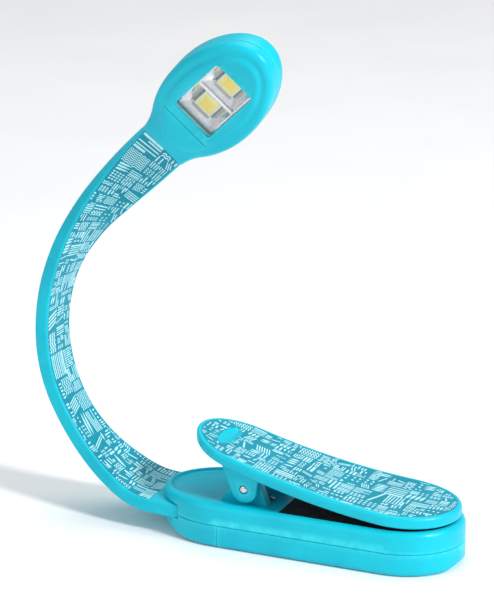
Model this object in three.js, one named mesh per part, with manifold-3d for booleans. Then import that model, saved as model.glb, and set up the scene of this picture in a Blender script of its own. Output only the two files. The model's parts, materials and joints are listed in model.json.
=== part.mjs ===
// Clip-on reading lamp: a bendable strap neck carries an LED head above a spring clip base.
// Units are millimetres and +Z is up. The origin is the centre of the base's flat bottom,
// +X points along the base to the jaw's tip, and the neck leaves the base's -X end.
import * as THREE from "three";
import { mergeVertices } from "three/addons/utils/BufferGeometryUtils.js";
import Module from "manifold-3d";

const wasm = await Module();
wasm.setup();

// Driving dimensions.
const GAP = 0.3; // clearance between a piece and the piece it sits in
const SEAM = 0.2; // parting gap between two shells
const FLUSH = 0.1; // gap under a piece that lies on a flat face
const OVER = 1; // how far a cutter runs past the face it cuts
const WELD = 0.2; // how far two joined shapes run into each other
const SOLDER = 0.05; // gap between the board and a piece soldered to it
const DRILL = { tip: 0.2, wide: 0.25 }; // room round a screw: past its tip, and round its clearance holes

const BASE = { length: 75, width: 27, height: 10.8, parting: 5.6, rear: 18, front: 15, wall: 1.5, edge: 1.4 };
const DECK = { z: 10, rim: 1.7, skin: 1.5, padSkin: 1.2, scoopDepth: 0.9, rearWall: 2.1 };
const SCOOP = { x: -25.5, length: 8.5, half: 7.5 }; // the dish in the deck under the lever's rear end
// The rises under the base: each runs from its foot on the bottom, round its bend, to the base's end.
const RAMP = { footX: -20.5, bendX: -31, bendZ: 0.2, short: 0.4 };
const NOSE = { footX: 33, bendX: 37.4, bendZ: 0.4, endZ: 3.2 };
const UNDER = 0.01; // how far below the bottom a rise starts
const SPLIT_X = -18.8; // where the battery cover meets the rear lower shell
const FLOOR = 1.2; // thickness of the lower shells' floor and of their end walls
const PAD = { rearX: -4.4, inset: 2.2, thickness: 1.6, corner: 2, top: 10.2, wall: 2 };
const CELL = { radius: 10, height: 3.2, bottom: 1.95, rearX: 4.6, pitch: 20.6 };
const TRAY = { bottom: 1.55, top: 5.1, inset: 2.1, rearX: -7.2, slotTop: 1.9, slotHalf: 3, room: 0.25 };
const CONTACT = {
  thickness: 0.25, half: 2.5, armHalf: 2, railInner: 10.5, railOuter: 11.6, overhang: 1.5,
  reach: 2,
};
const ARM = { rear: 5.6, front: 2 }; // the front contact's arm, measured back from its cell's centre
const BRIDGE = { end: 3, bottom: 0.3, top: 0.05 }; // measured in from the cells' centres and below them
const HINGE = {
  x: -13.5, z: 14.2, pin: 1, hole: 1.25, lugInner: 4.9, lugOuter: 7.4, earInner: 7.7,
  earOuter: 9.9,
};
const PIN = { proud: 0.2, nose: 0.8, rim: 0.1, bevel: 0.4 }; // the hinge pin's ends
const SPRING = {
  wire: 0.45, coil: 2.2, turns: 5, halfWidth: 3.6, reach: 5.5, lowerDrop: 1.3, upperDrop: 0.9,
  leg: 0.12,
};
const LUG = { rearFoot: 7.8, frontFoot: 5.4, radius: 3.15, frontAngle: 0.2, rearAngle: 2.5, sunk: 0.4 };
const EAR = { rear: 6.2, front: 3.8, radius: 3.3, rearAngle: 3.58, frontAngle: 6.13 };
const LEVER = {
  rear: -29, front: 36.6, rearWidth: 22, frontWidth: 25.4, thickness: 2.8, tipZ: 11.2, rise: 12,
};
const LEVER_ROUND = { rear: 12, front: 15 }; // length of the lever's two elliptical ends
const ROOT = {
  bottom: 4.75, top: 8.05, notchX: -30.2, innerX: -24.5, innerHalf: 7.4, startX: -38,
  outerX: -43.5,
};
const ROOT_CORE = { bore: 9, wire: 8.4, weld: 0.5, wall: 2, cavityX: -27.5 };
const SCREW = { x: -22.4, y: 7.6, head: 1.9, shank: 0.95, boss: 2.7, bottom: 0.7, neck: 1.9, top: 8.2 };
const BOSS = { upper: 2.2, foot: 0.4, inset: 0.5 };
const SCREW_POINT = 0.6;

const NECK = {
  width: 12,
  rootWidth: 21.7,
  flare: 42,
  thickness: 3.3,
  corner: 0.5,
  bore: 1.1,
  wire: 0.8,
  gap: 0.8, // between two stretches, so that they clear each other at the straight limit
  tipStraight: 6, // how far the strap's end runs into the head
  tipWall: 0.6, // strap beyond the wire's end
};
// The flexible stretches from the base to the head: each one bends about the strap's width or
// twists about the strap's length, by its angle in degrees at rest.
const LOWER_STRETCH = 11.8;
const STRETCHES = [
  { kind: "bend", length: LOWER_STRETCH, angle: 33 },
  { kind: "bend", length: LOWER_STRETCH, angle: 15 },
  { kind: "bend", length: LOWER_STRETCH, angle: 16 },
  { kind: "bend", length: LOWER_STRETCH, angle: 18 },
  { kind: "bend", length: LOWER_STRETCH, angle: 18 },
  { kind: "twist", length: 4, angle: 5 },
  { kind: "bend", length: 8.5, angle: 20 },
  { kind: "twist", length: 6.5, angle: 17 },
  { kind: "bend", length: 7.5, angle: 14 },
  { kind: "twist", length: 6.5, angle: 24 },
  { kind: "bend", length: 7.5, angle: 5 },
  { kind: "twist", length: 6.5, angle: 22 },
  { kind: "bend", length: 5.5, angle: 5 },
  { kind: "twist", length: 7, angle: 12 },
];

// Head, in its own frame: +Y runs on from the strap, +Z is the lit face's normal, X is its width.
const HEAD = {
  length: 40, width: 22.6, centre: 19, back: -4.8, front: 3.1, plateau: 3.8, edge: 1.6, wall: 1.5,
};
const PLATEAU = { inset: 2.2, foot: 0.5 };
const HEAD_ROOT = { y: -1.5, half: 6.2, blendY: 5, bulge: 0.3, bulgeY: 2 };
const CAVITY = { bottom: -3.6, top: 2.4, startY: 6.2 };
const WINDOW = {
  y: 20.8, width: 10.9, length: 17.9, corner: 1.2, flange: 1, top: 3.5, bottom: 2.05, lip: 0.25,
};
const REFLECTOR = {
  width: 12.6, length: 19.6, bottom: -0.5, top: 2, mouth: 8.1, throat: 5.6, side: 10.1, pitch: 8.9,
};
const REFLECTOR_CORNER = 1;
const BOARD = { bottom: -1.4, top: -0.6, startY: 10.6, endY: 33, width: 14, corner: 2 };
const LED = { size: 5, height: 1.1, dome: 4.2, domeFoot: 0.5, domeRise: 0.15 };
const BUTTON = { y: 27, stem: 3.2, flange: 4, out: -5.5, inside: -3.5, flangeTop: -3.1, bore: 3.5 };
const SWITCH = { width: 6, bottom: -2.5 };
const HEAD_SCREW = { y: 8.4, head: 1.6, shank: 0.7, top: 1.4, headTop: -3.5, headBottom: -4.5 };
const HEAD_BOSS = { front: 1.7, back: 2.1, foot: 0.4 };
const RESISTOR = { x: 4.6, y: 13, width: 1.6, length: 3.2, height: 0.6 };

const COLOURS = {
  turquoise: 0x00b4cf,
  pad: 0x1d1d1f,
  steel: 0xc3c6c9,
  cell: 0xd2d4d6,
  brass: 0xc9a75a,
  board: 0x1f6b45,
  white: 0xe8e8e6,
  chrome: 0xe4e6e8,
  clear: 0xf2f6f8,
  phosphor: 0xf3e14a,
  black: 0x161616,
};

// ---- Solids ----

// A manifold solid of a closed three.js geometry.
function solid(geometry) {
  const bare = geometry.index ? geometry.toNonIndexed() : geometry.clone();
  bare.deleteAttribute("normal");
  bare.deleteAttribute("uv");
  const merged = mergeVertices(bare, 1e-4);
  return new wasm.Manifold(
    new wasm.Mesh({
      numProp: 3,
      vertProperties: new Float32Array(merged.attributes.position.array),
      triVerts: new Uint32Array(merged.index.array),
    }),
  );
}

// The three.js geometry of a manifold solid.
function geometryOf(manifold) {
  const mesh = manifold.getMesh();
  const geometry = new THREE.BufferGeometry();
  geometry.setAttribute("position", new THREE.BufferAttribute(mesh.vertProperties, mesh.numProp));
  geometry.setIndex(new THREE.BufferAttribute(mesh.triVerts, 1));
  geometry.computeVertexNormals();
  return geometry;
}

function box(low, high) {
  const size = high.map((value, axis) => value - low[axis]);
  const geometry = new THREE.BoxGeometry(...size);
  geometry.translate(...low.map((value, axis) => value + size[axis] / 2));
  return solid(geometry);
}

// An upright cylinder at (x, y) from z = bottom to z = top.
function post(x, y, radius, bottom, top, sides = 24) {
  const geometry = new THREE.CylinderGeometry(radius, radius, top - bottom, sides);
  geometry.rotateX(Math.PI / 2);
  geometry.translate(x, y, (bottom + top) / 2);
  return solid(geometry);
}

// A cylinder along Y at (x, z), from y = low to y = high.
function crossPost(x, z, radius, low, high, sides = 24) {
  const geometry = new THREE.CylinderGeometry(radius, radius, high - low, sides);
  geometry.translate(x, (low + high) / 2, z);
  return solid(geometry);
}

// A shape in plan, raised from z = bottom to z = top.
function raised(shape, bottom, top, curveSegments = 16) {
  const options = { depth: top - bottom, bevelEnabled: false, curveSegments };
  const geometry = new THREE.ExtrudeGeometry(shape, options);
  geometry.translate(0, 0, bottom);
  return solid(geometry);
}

// A plan shape with rounded top and bottom edges; the shape is already drawn `edge` inside the outline.
function pillow(shape, bottom, top, edge, curveSegments = 16) {
  const geometry = new THREE.ExtrudeGeometry(shape, {
    depth: top - bottom - 2 * edge,
    bevelThickness: edge,
    bevelSize: edge,
    bevelSegments: 3,
    curveSegments,
  });
  geometry.translate(0, 0, bottom + edge);
  return solid(geometry);
}

// A shape drawn in side view, as (x, z), run from y = low to y = high.
function sideways(shape, low, high, curveSegments = 12) {
  const options = { depth: high - low, bevelEnabled: false, curveSegments };
  const geometry = new THREE.ExtrudeGeometry(shape, options);
  geometry.rotateX(Math.PI / 2);
  geometry.translate(0, high, 0);
  return solid(geometry);
}

// A closed outline through points given as [x, y].
function polygon(points) {
  return new THREE.Shape(points.map(([x, y]) => new THREE.Vector2(x, y)));
}

function roundedRectangle(width, length, corner, centreX = 0, centreY = 0) {
  const x = width / 2 - corner;
  const y = length / 2 - corner;
  const shape = new THREE.Shape();
  shape.absarc(centreX + x, centreY + y, corner, 0, Math.PI / 2);
  shape.absarc(centreX - x, centreY + y, corner, Math.PI / 2, Math.PI);
  shape.absarc(centreX - x, centreY - y, corner, Math.PI, 1.5 * Math.PI);
  shape.absarc(centreX + x, centreY - y, corner, 1.5 * Math.PI, 2 * Math.PI);
  return shape;
}

// ---- Scene graph ----

const lamp = new THREE.Group();

function material(colour, roughness, metalness = 0) {
  return new THREE.MeshStandardMaterial({ color: colour, roughness, metalness });
}

function addMesh(parent, name, manifold, finish) {
  const mesh = new THREE.Mesh(geometryOf(manifold), finish);
  mesh.name = name;
  parent.add(mesh);
  return mesh;
}

const satin = () => material(COLOURS.turquoise, 0.42);
const steel = () => material(COLOURS.steel, 0.28, 1);

// ---- Base ----

// The base's outline in plan, drawn `inset` inside its side: straight sides and two elliptical ends.
function baseOutline(inset) {
  const half = BASE.width / 2 - inset;
  const rearX = -BASE.length / 2 + BASE.rear;
  const frontX = BASE.length / 2 - BASE.front;
  const shape = new THREE.Shape();
  shape.moveTo(rearX, -half);
  shape.lineTo(frontX, -half);
  shape.absellipse(frontX, 0, BASE.front - inset, half, -Math.PI / 2, Math.PI / 2);
  shape.lineTo(rearX, half);
  shape.absellipse(rearX, 0, BASE.rear - inset, half, Math.PI / 2, 1.5 * Math.PI);
  return shape;
}

// The space between z = bottom and z = top inside the outline, from x = low to x = high.
function baseSlice(inset, bottom, top, low = -BASE.length, high = BASE.length) {
  const window = box([low, -BASE.width, bottom], [high, BASE.width, top]);
  return raised(baseOutline(inset), bottom - OVER, top + OVER).intersect(window);
}

// The base's whole outside: a pillow with a long ramp under its rear end and a short one in front.
function baseHull() {
  const end = BASE.length / 2 + OVER;
  const ramp = new THREE.Shape();
  ramp.moveTo(-end, -OVER);
  ramp.lineTo(-end, ROOT.bottom - GAP);
  ramp.lineTo(-BASE.length / 2 + RAMP.short, ROOT.bottom - GAP);
  ramp.quadraticCurveTo(RAMP.bendX, RAMP.bendZ, RAMP.footX, -UNDER);
  ramp.lineTo(RAMP.footX, -OVER);
  const nose = new THREE.Shape();
  nose.moveTo(end, -OVER);
  nose.lineTo(end, NOSE.endZ);
  nose.quadraticCurveTo(NOSE.bendX, NOSE.bendZ, NOSE.footX, -UNDER);
  nose.lineTo(NOSE.footX, -OVER);
  const outside = pillow(baseOutline(BASE.edge), 0, BASE.height, BASE.edge);
  return outside
    .subtract(sideways(ramp, -BASE.width, BASE.width, 6))
    .subtract(sideways(nose, -BASE.width, BASE.width, 5));
}

// The strap's root as a plate, grown by `grow`: its sides flare to the notch, with a tongue behind it.
function rootPlate(grow, bottom, top) {
  const steps = 10;
  const side = [];
  for (let i = 0; i <= steps; i++) {
    const x = THREE.MathUtils.lerp(ROOT.outerX, ROOT.notchX, i / steps);
    side.push([x, strapWidth(ROOT.startX - x) / 2 + grow]);
  }
  side[steps][0] += grow;
  side.push([ROOT.notchX + grow, ROOT.innerHalf + grow]);
  side.push([ROOT.innerX + grow, ROOT.innerHalf + grow]);
  const mirrored = side.map(([x, y]) => [x, -y]).reverse();
  return raised(polygon([...mirrored, ...side].reverse()), bottom, top);
}

// The strap's width at a distance along it from where its free length starts.
function strapWidth(along) {
  const from = ROOT.notchX - ROOT.startX;
  const flared = 1 - THREE.MathUtils.smoothstep(along, -from, NECK.flare - from);
  return NECK.width + (NECK.rootWidth - NECK.width) * flared;
}

// One hinge lug: a plate that rises from the deck and rounds over the pin.
function lug(low, high) {
  const foot = DECK.z - LUG.sunk;
  const shape = new THREE.Shape();
  shape.moveTo(HINGE.x - LUG.rearFoot, foot);
  shape.lineTo(HINGE.x + LUG.frontFoot, foot);
  shape.absarc(HINGE.x, HINGE.z, LUG.radius, LUG.frontAngle, LUG.rearAngle);
  shape.closePath();
  return sideways(shape, low, high, 10);
}

function lugs() {
  return lug(HINGE.lugInner, HINGE.lugOuter).add(lug(-HINGE.lugOuter, -HINGE.lugInner));
}

function padOutline(grow) {
  const rear = PAD.rearX - grow;
  const corner = PAD.corner;
  const half = BASE.width / 2 - PAD.inset + grow;
  const front = BASE.length / 2 - BASE.front;
  const shape = new THREE.Shape();
  shape.moveTo(rear + corner, -half);
  shape.lineTo(front, -half);
  shape.absellipse(front, 0, BASE.front - PAD.inset + grow, half, -Math.PI / 2, Math.PI / 2);
  shape.lineTo(rear + corner, half);
  shape.absarc(rear + corner, half - corner, corner, Math.PI / 2, Math.PI);
  shape.absarc(rear + corner, -half + corner, corner, Math.PI, 1.5 * Math.PI);
  return shape;
}

// The shallow dish in the deck under the lever's rear end.
function scoop() {
  const geometry = new THREE.SphereGeometry(1, 24, 12);
  geometry.scale(SCOOP.length, SCOOP.half, DECK.scoopDepth * 3);
  geometry.translate(SCOOP.x, 0, DECK.z + DECK.scoopDepth * 2);
  return solid(geometry);
}

function upperShell() {
  const padFloor = PAD.top - PAD.thickness - FLUSH;
  const cavityX = PAD.rearX - PAD.wall;
  const ceiling = DECK.z - DECK.skin;
  let shell = baseHull().intersect(baseSlice(-OVER, BASE.parting, BASE.height + OVER));
  shell = shell.subtract(baseSlice(DECK.rim, DECK.z, BASE.height + OVER)).add(lugs());
  shell = shell.subtract(raised(padOutline(GAP), padFloor, BASE.height + OVER));
  shell = shell.subtract(baseSlice(BASE.wall, BASE.parting - OVER, padFloor - DECK.padSkin, cavityX));
  const rearX = ROOT.notchX + ROOT_CORE.wall;
  shell = shell.subtract(baseSlice(DECK.rearWall, BASE.parting - OVER, ceiling, rearX, cavityX + UNDER));
  for (const side of [-1, 1]) {
    const y = side * SCREW.y;
    shell = shell.add(post(SCREW.x, y, BOSS.upper, BASE.parting, ceiling + WELD));
    shell = shell.subtract(post(SCREW.x, y, SCREW.shank + DRILL.tip, 0, SCREW.top + DRILL.tip, 16));
  }
  shell = shell.subtract(crossPost(HINGE.x, HINGE.z, HINGE.hole, -BASE.width, BASE.width, 28));
  return shell.subtract(scoop()).subtract(rootPlate(GAP, ROOT.bottom - GAP, ROOT.top + GAP));
}

function rearLowerShell() {
  const top = BASE.parting - SEAM;
  let shell = baseHull().intersect(baseSlice(-OVER, -OVER, top, -BASE.length, SPLIT_X - SEAM));
  shell = shell.subtract(baseSlice(BASE.wall, FLOOR, top + OVER, ROOT_CORE.cavityX, SPLIT_X - SEAM - FLOOR));
  for (const side of [-1, 1]) {
    const y = side * SCREW.y;
    shell = shell.add(post(SCREW.x, y, SCREW.boss, BOSS.foot, top).intersect(baseSlice(BOSS.inset, 0, top)));
    shell = shell.subtract(post(SCREW.x, y, SCREW.shank + DRILL.wide, -OVER, top + OVER, 16));
    shell = shell.subtract(post(SCREW.x, y, SCREW.head + DRILL.wide, -OVER, SCREW.neck + FLUSH, 20));
  }
  return shell.subtract(rootPlate(GAP, ROOT.bottom - GAP, ROOT.top + GAP));
}

function batteryCover() {
  const top = BASE.parting - SEAM;
  const cover = baseHull().intersect(baseSlice(-OVER, -OVER, top, SPLIT_X, BASE.length));
  return cover.subtract(baseSlice(BASE.wall, FLOOR, top + OVER, SPLIT_X - OVER));
}

const cellX = [CELL.rearX, CELL.rearX + CELL.pitch];

function cellTray() {
  let tray = baseSlice(TRAY.inset, TRAY.bottom, TRAY.top, TRAY.rearX);
  for (const x of cellX) tray = tray.subtract(post(x, 0, CELL.radius + TRAY.room, 0, BASE.height, 40));
  const slot = box([cellX[0], -TRAY.slotHalf, 0], [cellX[1], TRAY.slotHalf, TRAY.slotTop]);
  return tray.subtract(slot);
}

function contacts(parent) {
  const brass = () => material(COLOURS.brass, 0.35, 1);
  const bottom = CELL.bottom + CELL.height + FLUSH;
  const top = bottom + CONTACT.thickness;
  const rearX = TRAY.rearX - CONTACT.overhang;
  const armX = cellX[1] - ARM.front;
  const arm = box([cellX[1] - ARM.rear, -CONTACT.armHalf, bottom], [armX, CONTACT.railOuter, top]);
  const rail = box([rearX, CONTACT.railInner, bottom], [armX, CONTACT.railOuter, top]);
  addMesh(parent, "contact_front", arm.add(rail), brass());
  const rearEnd = cellX[0] + CONTACT.reach;
  const rear = box([rearX, -CONTACT.half, bottom], [rearEnd, CONTACT.half, top]);
  addMesh(parent, "contact_rear", rear, brass());
  const bridge = box(
    [cellX[0] + BRIDGE.end, -CONTACT.half, CELL.bottom - BRIDGE.bottom],
    [cellX[1] - BRIDGE.end, CONTACT.half, CELL.bottom - BRIDGE.top],
  );
  addMesh(parent, "contact_bridge", bridge, brass());
}

// A round-headed screw pointing up, from z = bottom: head to z = neck, shank to z = top.
function screw(bottom, neck, top, headRadius, shankRadius) {
  const profile = [
    [0, bottom],
    [headRadius, bottom],
    [headRadius, neck],
    [shankRadius, neck],
    [shankRadius, top - SCREW_POINT],
    [0, top],
  ];
  const geometry = new THREE.LatheGeometry(
    profile.map(([r, z]) => new THREE.Vector2(r, z)),
    16,
  );
  geometry.rotateX(Math.PI / 2);
  return solid(geometry);
}

function buildBase() {
  const base = new THREE.Group();
  addMesh(base, "upper_shell", upperShell(), satin());
  addMesh(base, "rear_lower_shell", rearLowerShell(), satin());
  addMesh(base, "battery_cover", batteryCover(), satin());
  addMesh(base, "cell_tray", cellTray(), material(COLOURS.black, 0.6));
  const names = ["cell_rear", "cell_front"];
  cellX.forEach((x, i) => {
    const body = post(x, 0, CELL.radius, CELL.bottom, CELL.bottom + CELL.height, 40);
    addMesh(base, names[i], body, material(COLOURS.cell, 0.3, 1));
  });
  contacts(base);
  for (const [name, side] of [["base_screw_left", 1], ["base_screw_right", -1]]) {
    const body = screw(SCREW.bottom, SCREW.neck, SCREW.top, SCREW.head, SCREW.shank);
    addMesh(base, name, body, steel()).position.set(SCREW.x, side * SCREW.y, 0);
  }
  const padBottom = PAD.top - PAD.thickness;
  addMesh(base, "clip_pad", raised(padOutline(0), padBottom, PAD.top), material(COLOURS.pad, 0.85));
  return base;
}

// ---- Clip ----

// Height of the lever's underside: a parabola that is lowest at the jaw's tip.
function leverUnder(x) {
  const share = (LEVER.front - x) / (LEVER.front - LEVER.rear);
  return LEVER.tipZ + LEVER.rise * share * share;
}

function leverOutline() {
  const rearHalf = LEVER.rearWidth / 2;
  const frontHalf = LEVER.frontWidth / 2;
  const rearX = LEVER.rear + LEVER_ROUND.rear;
  const frontX = LEVER.front - LEVER_ROUND.front;
  const shape = new THREE.Shape();
  shape.moveTo(rearX, -rearHalf);
  shape.lineTo(frontX, -frontHalf);
  shape.absellipse(frontX, 0, LEVER.front - frontX, frontHalf, -Math.PI / 2, Math.PI / 2);
  shape.lineTo(rearX, rearHalf);
  shape.absellipse(rearX, 0, rearX - LEVER.rear, rearHalf, Math.PI / 2, 1.5 * Math.PI);
  return shape;
}

// One ear of the lever: it hangs from the underside and rounds under the pin.
function ear(low, high) {
  const shape = new THREE.Shape();
  const rearX = HINGE.x - EAR.rear;
  const frontX = HINGE.x + EAR.front;
  shape.moveTo(rearX, leverUnder(rearX) + OVER);
  shape.absarc(HINGE.x, HINGE.z, EAR.radius, EAR.rearAngle, EAR.frontAngle);
  shape.lineTo(frontX, leverUnder(frontX) + OVER);
  shape.closePath();
  return sideways(shape, low, high, 12);
}

function lever() {
  const steps = 20;
  const under = [];
  for (let i = 0; i <= steps; i++) {
    const x = THREE.MathUtils.lerp(LEVER.rear - OVER, LEVER.front + OVER, i / steps);
    under.push([x, leverUnder(x)]);
  }
  const top = under.map(([x, z]) => [x, z + LEVER.thickness]).reverse();
  const slab = sideways(polygon([...under, ...top]), -BASE.width, BASE.width);
  const plate = slab.intersect(raised(leverOutline(), 0, 60, 14));
  const ears = ear(HINGE.earInner, HINGE.earOuter).add(ear(-HINGE.earOuter, -HINGE.earInner));
  return plate.add(ears).subtract(crossPost(HINGE.x, HINGE.z, HINGE.hole, -BASE.width, BASE.width, 28));
}

function hingePin() {
  const end = HINGE.earOuter + PIN.proud;
  const profile = [
    [0, -end],
    [HINGE.pin * PIN.nose, -end + PIN.rim],
    [HINGE.pin, -end + PIN.bevel],
    [HINGE.pin, end - PIN.bevel],
    [HINGE.pin * PIN.nose, end - PIN.rim],
    [0, end],
  ];
  const geometry = new THREE.LatheGeometry(
    profile.map(([r, y]) => new THREE.Vector2(r, y)),
    20,
  );
  geometry.translate(HINGE.x, 0, HINGE.z);
  return solid(geometry);
}

// The torsion spring's centre line: a leg along the deck, the coil round the pin, a leg under the lever.
class SpringLine extends THREE.Curve {
  getPoint(t, target = new THREE.Vector3()) {
    const leg = SPRING.leg;
    const sweep = 2 * Math.PI * SPRING.turns + Math.PI;
    const coilShare = THREE.MathUtils.clamp((t - leg) / (1 - 2 * leg), 0, 1);
    const angle = -Math.PI / 2 - sweep * coilShare;
    const y = -SPRING.halfWidth + 2 * SPRING.halfWidth * coilShare;
    target.set(HINGE.x + SPRING.coil * Math.cos(angle), y, HINGE.z + SPRING.coil * Math.sin(angle));
    const lowerLeg = Math.max(0, (leg - t) / leg);
    const upperLeg = Math.max(0, (t - 1 + leg) / leg);
    target.x += SPRING.reach * (lowerLeg + upperLeg);
    target.z -= SPRING.lowerDrop * lowerLeg + SPRING.upperDrop * upperLeg;
    return target;
  }
}

function torsionSpring() {
  const section = new THREE.Shape();
  section.absarc(0, 0, SPRING.wire, 0, 2 * Math.PI);
  const options = { steps: 96, bevelEnabled: false, curveSegments: 3, extrudePath: new SpringLine() };
  return solid(new THREE.ExtrudeGeometry(section, options));
}

function buildClip() {
  const clip = new THREE.Group();
  addMesh(clip, "lever", lever(), satin());
  addMesh(clip, "hinge_pin", hingePin(), steel());
  addMesh(clip, "torsion_spring", torsionSpring(), steel());
  return clip;
}

// ---- Neck ----

// Stations along the strap's centre line. Each holds its place, the way along the strap, the printed
// face's normal, and the distance from where the free length starts.
function stationAt(place, along, normal, distance) {
  return { place: place.clone(), along: along.clone(), normal: normal.clone(), distance };
}

// Walks one stretch from a station and returns the station after `share` of it.
function walk(station, stretch, share) {
  const angle = THREE.MathUtils.degToRad(stretch.angle) * share;
  const length = stretch.length * share;
  const across = new THREE.Vector3().crossVectors(station.along, station.normal);
  const next = stationAt(station.place, station.along, station.normal, station.distance + length);
  if (stretch.kind === "twist") {
    next.place.addScaledVector(station.along, length);
    next.normal.applyAxisAngle(station.along, -angle);
    return next;
  }
  const radius = stretch.length / THREE.MathUtils.degToRad(stretch.angle);
  next.place.addScaledVector(station.along, radius * Math.sin(angle));
  next.place.addScaledVector(station.normal, radius * (1 - Math.cos(angle)));
  next.along.applyAxisAngle(across, angle);
  next.normal.applyAxisAngle(across, angle);
  return next;
}

// The strap's section at a station: a flat bar with small rounded corners.
function strapSection(station, grow = 0) {
  const half = strapWidth(station.distance) / 2 + grow;
  const thick = NECK.thickness / 2 + grow;
  const points = [];
  const corner = NECK.corner;
  for (const [sx, sz, start] of [[1, 1, 0], [-1, 1, 90], [-1, -1, 180], [1, -1, 270]]) {
    for (const turn of [0, 45, 90]) {
      const angle = THREE.MathUtils.degToRad(start + turn);
      const x = sx * (half - corner) + corner * Math.cos(angle);
      points.push([x, sz * (thick - corner) + corner * Math.sin(angle)]);
    }
  }
  return points;
}

function roundSection(radius) {
  const sides = 8;
  return Array.from({ length: sides }, (_, i) => {
    const angle = (2 * Math.PI * i) / sides;
    return [radius * Math.cos(angle), radius * Math.sin(angle)];
  });
}

// A closed solid that runs through stations, with the section that `sectionAt` gives at each.
function loft(stations, sectionAt) {
  const rings = stations.map((station) => {
    const across = new THREE.Vector3().crossVectors(station.along, station.normal);
    return sectionAt(station).map(([x, z]) =>
      station.place.clone().addScaledVector(across, x).addScaledVector(station.normal, z),
    );
  });
  const positions = [];
  const triangle = (a, b, c) => positions.push(...a.toArray(), ...b.toArray(), ...c.toArray());
  const count = rings[0].length;
  for (let i = 0; i + 1 < rings.length; i++) {
    for (let j = 0; j < count; j++) {
      const k = (j + 1) % count;
      triangle(rings[i][j], rings[i + 1][j], rings[i][k]);
      triangle(rings[i][k], rings[i + 1][j], rings[i + 1][k]);
    }
  }
  const last = rings[rings.length - 1];
  for (let j = 1; j + 1 < count; j++) {
    triangle(rings[0][0], rings[0][j], rings[0][j + 1]);
    triangle(last[0], last[j + 1], last[j]);
  }
  const geometry = new THREE.BufferGeometry();
  geometry.setAttribute("position", new THREE.Float32BufferAttribute(positions, 3));
  return solid(geometry);
}

// Six stations on every stretch: its start, a quarter, each side of the gap at its middle, three
// quarters and its end.
function stretchStations() {
  const centreZ = (ROOT.bottom + ROOT.top) / 2;
  let station = stationAt(
    new THREE.Vector3(ROOT.startX, 0, centreZ),
    new THREE.Vector3(-1, 0, 0),
    new THREE.Vector3(0, 0, 1),
    0,
  );
  return STRETCHES.map((stretch) => {
    const half = NECK.gap / 2 / stretch.length;
    const shares = [0, 0.25, 0.5 - half, 0.5 + half, 0.75, 1];
    const stations = shares.map((share) => walk(station, stretch, share));
    station = stations[shares.length - 1];
    return stations;
  });
}

const STRAP_NAMES = STRETCHES.slice(1).map((_, i) => `neck_strap_${String(i + 1).padStart(2, "0")}`);
const WIRE_NAMES = STRETCHES.slice(1).map((_, i) => `core_wire_${String(i + 1).padStart(2, "0")}`);

function buildNeck() {
  const neck = new THREE.Group();
  const stretches = stretchStations();
  const bore = () => roundSection(NECK.bore);
  const wire = () => roundSection(NECK.wire);
  const addWire = (name, stations) => addMesh(neck, name, loft(stations, wire), steel());

  // A station moved along its own direction, for the ends of a bore or a straight run.
  const shifted = (station, distance) => {
    const moved = stationAt(station.place, station.along, station.normal, station.distance + distance);
    moved.place.addScaledVector(station.along, distance);
    return moved;
  };
  const bored = (stations) => {
    const last = stations.length - 1;
    const path = [shifted(stations[0], -OVER), ...stations, shifted(stations[last], OVER)];
    return loft(stations, strapSection).subtract(loft(path, bore));
  };

  const first = stretches[0];
  const toRoot = ROOT.startX - ROOT.outerX;
  const freeRoot = bored([shifted(first[0], -ROOT_CORE.weld), first[0], first[1], first[2]]);
  const plate = rootPlate(0, ROOT.bottom, ROOT.top).intersect(
    box([first[0].place.x - 2 * UNDER, -BASE.width, 0], [0, BASE.width, BASE.height]),
  );
  const rootBore = loft([shifted(first[0], -ROOT_CORE.bore), shifted(first[0], toRoot)], bore);
  addMesh(neck, "neck_root", freeRoot.add(plate).subtract(rootBore), satin());
  addWire("core_wire_root", [shifted(first[0], -ROOT_CORE.wire), first[0], first[1], first[2]]);

  for (let i = 0; i + 1 < stretches.length; i++) {
    const stations = [...stretches[i].slice(3, 6), ...stretches[i + 1].slice(1, 3)];
    addMesh(neck, STRAP_NAMES[i], bored(stations), satin());
    addWire(WIRE_NAMES[i], stations);
  }

  const lastStretch = stretches[stretches.length - 1];
  const end = lastStretch[5];
  const tip = [...lastStretch.slice(3, 6), shifted(end, NECK.tipStraight)];
  addMesh(neck, "neck_tip", bored(tip), satin());
  addWire("core_wire_tip", [...lastStretch.slice(3, 6), shifted(end, NECK.tipStraight - NECK.tipWall)]);
  return { neck, end };
}

// ---- Head ----

// The head's outline in its own plan: an ellipse with a short neck that meets the strap.
function headOutline(inset) {
  const half = HEAD.width / 2 - inset;
  const reach = HEAD.length / 2 - inset;
  const join = Math.asin((HEAD_ROOT.blendY - HEAD.centre) / reach);
  const joinX = half * Math.cos(join);
  const shape = new THREE.Shape();
  shape.moveTo(HEAD_ROOT.half - inset, HEAD_ROOT.y + inset);
  const rootX = HEAD_ROOT.half - inset;
  shape.quadraticCurveTo(rootX + HEAD_ROOT.bulge, HEAD_ROOT.bulgeY, joinX, HEAD_ROOT.blendY);
  shape.absellipse(0, HEAD.centre, half, reach, join, Math.PI - join);
  shape.quadraticCurveTo(-rootX - HEAD_ROOT.bulge, HEAD_ROOT.bulgeY, -rootX, HEAD_ROOT.y + inset);
  return shape;
}

// An upright ellipse in the head's plan, inside its outline.
function headEllipse(inset, bottom, top) {
  const shape = new THREE.Shape();
  shape.absellipse(0, HEAD.centre, HEAD.width / 2 - inset, HEAD.length / 2 - inset, 0, 2 * Math.PI);
  return raised(shape, bottom, top, 20);
}

function headHull() {
  return pillow(headOutline(HEAD.edge), HEAD.back, HEAD.front, HEAD.edge, 20);
}

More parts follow.
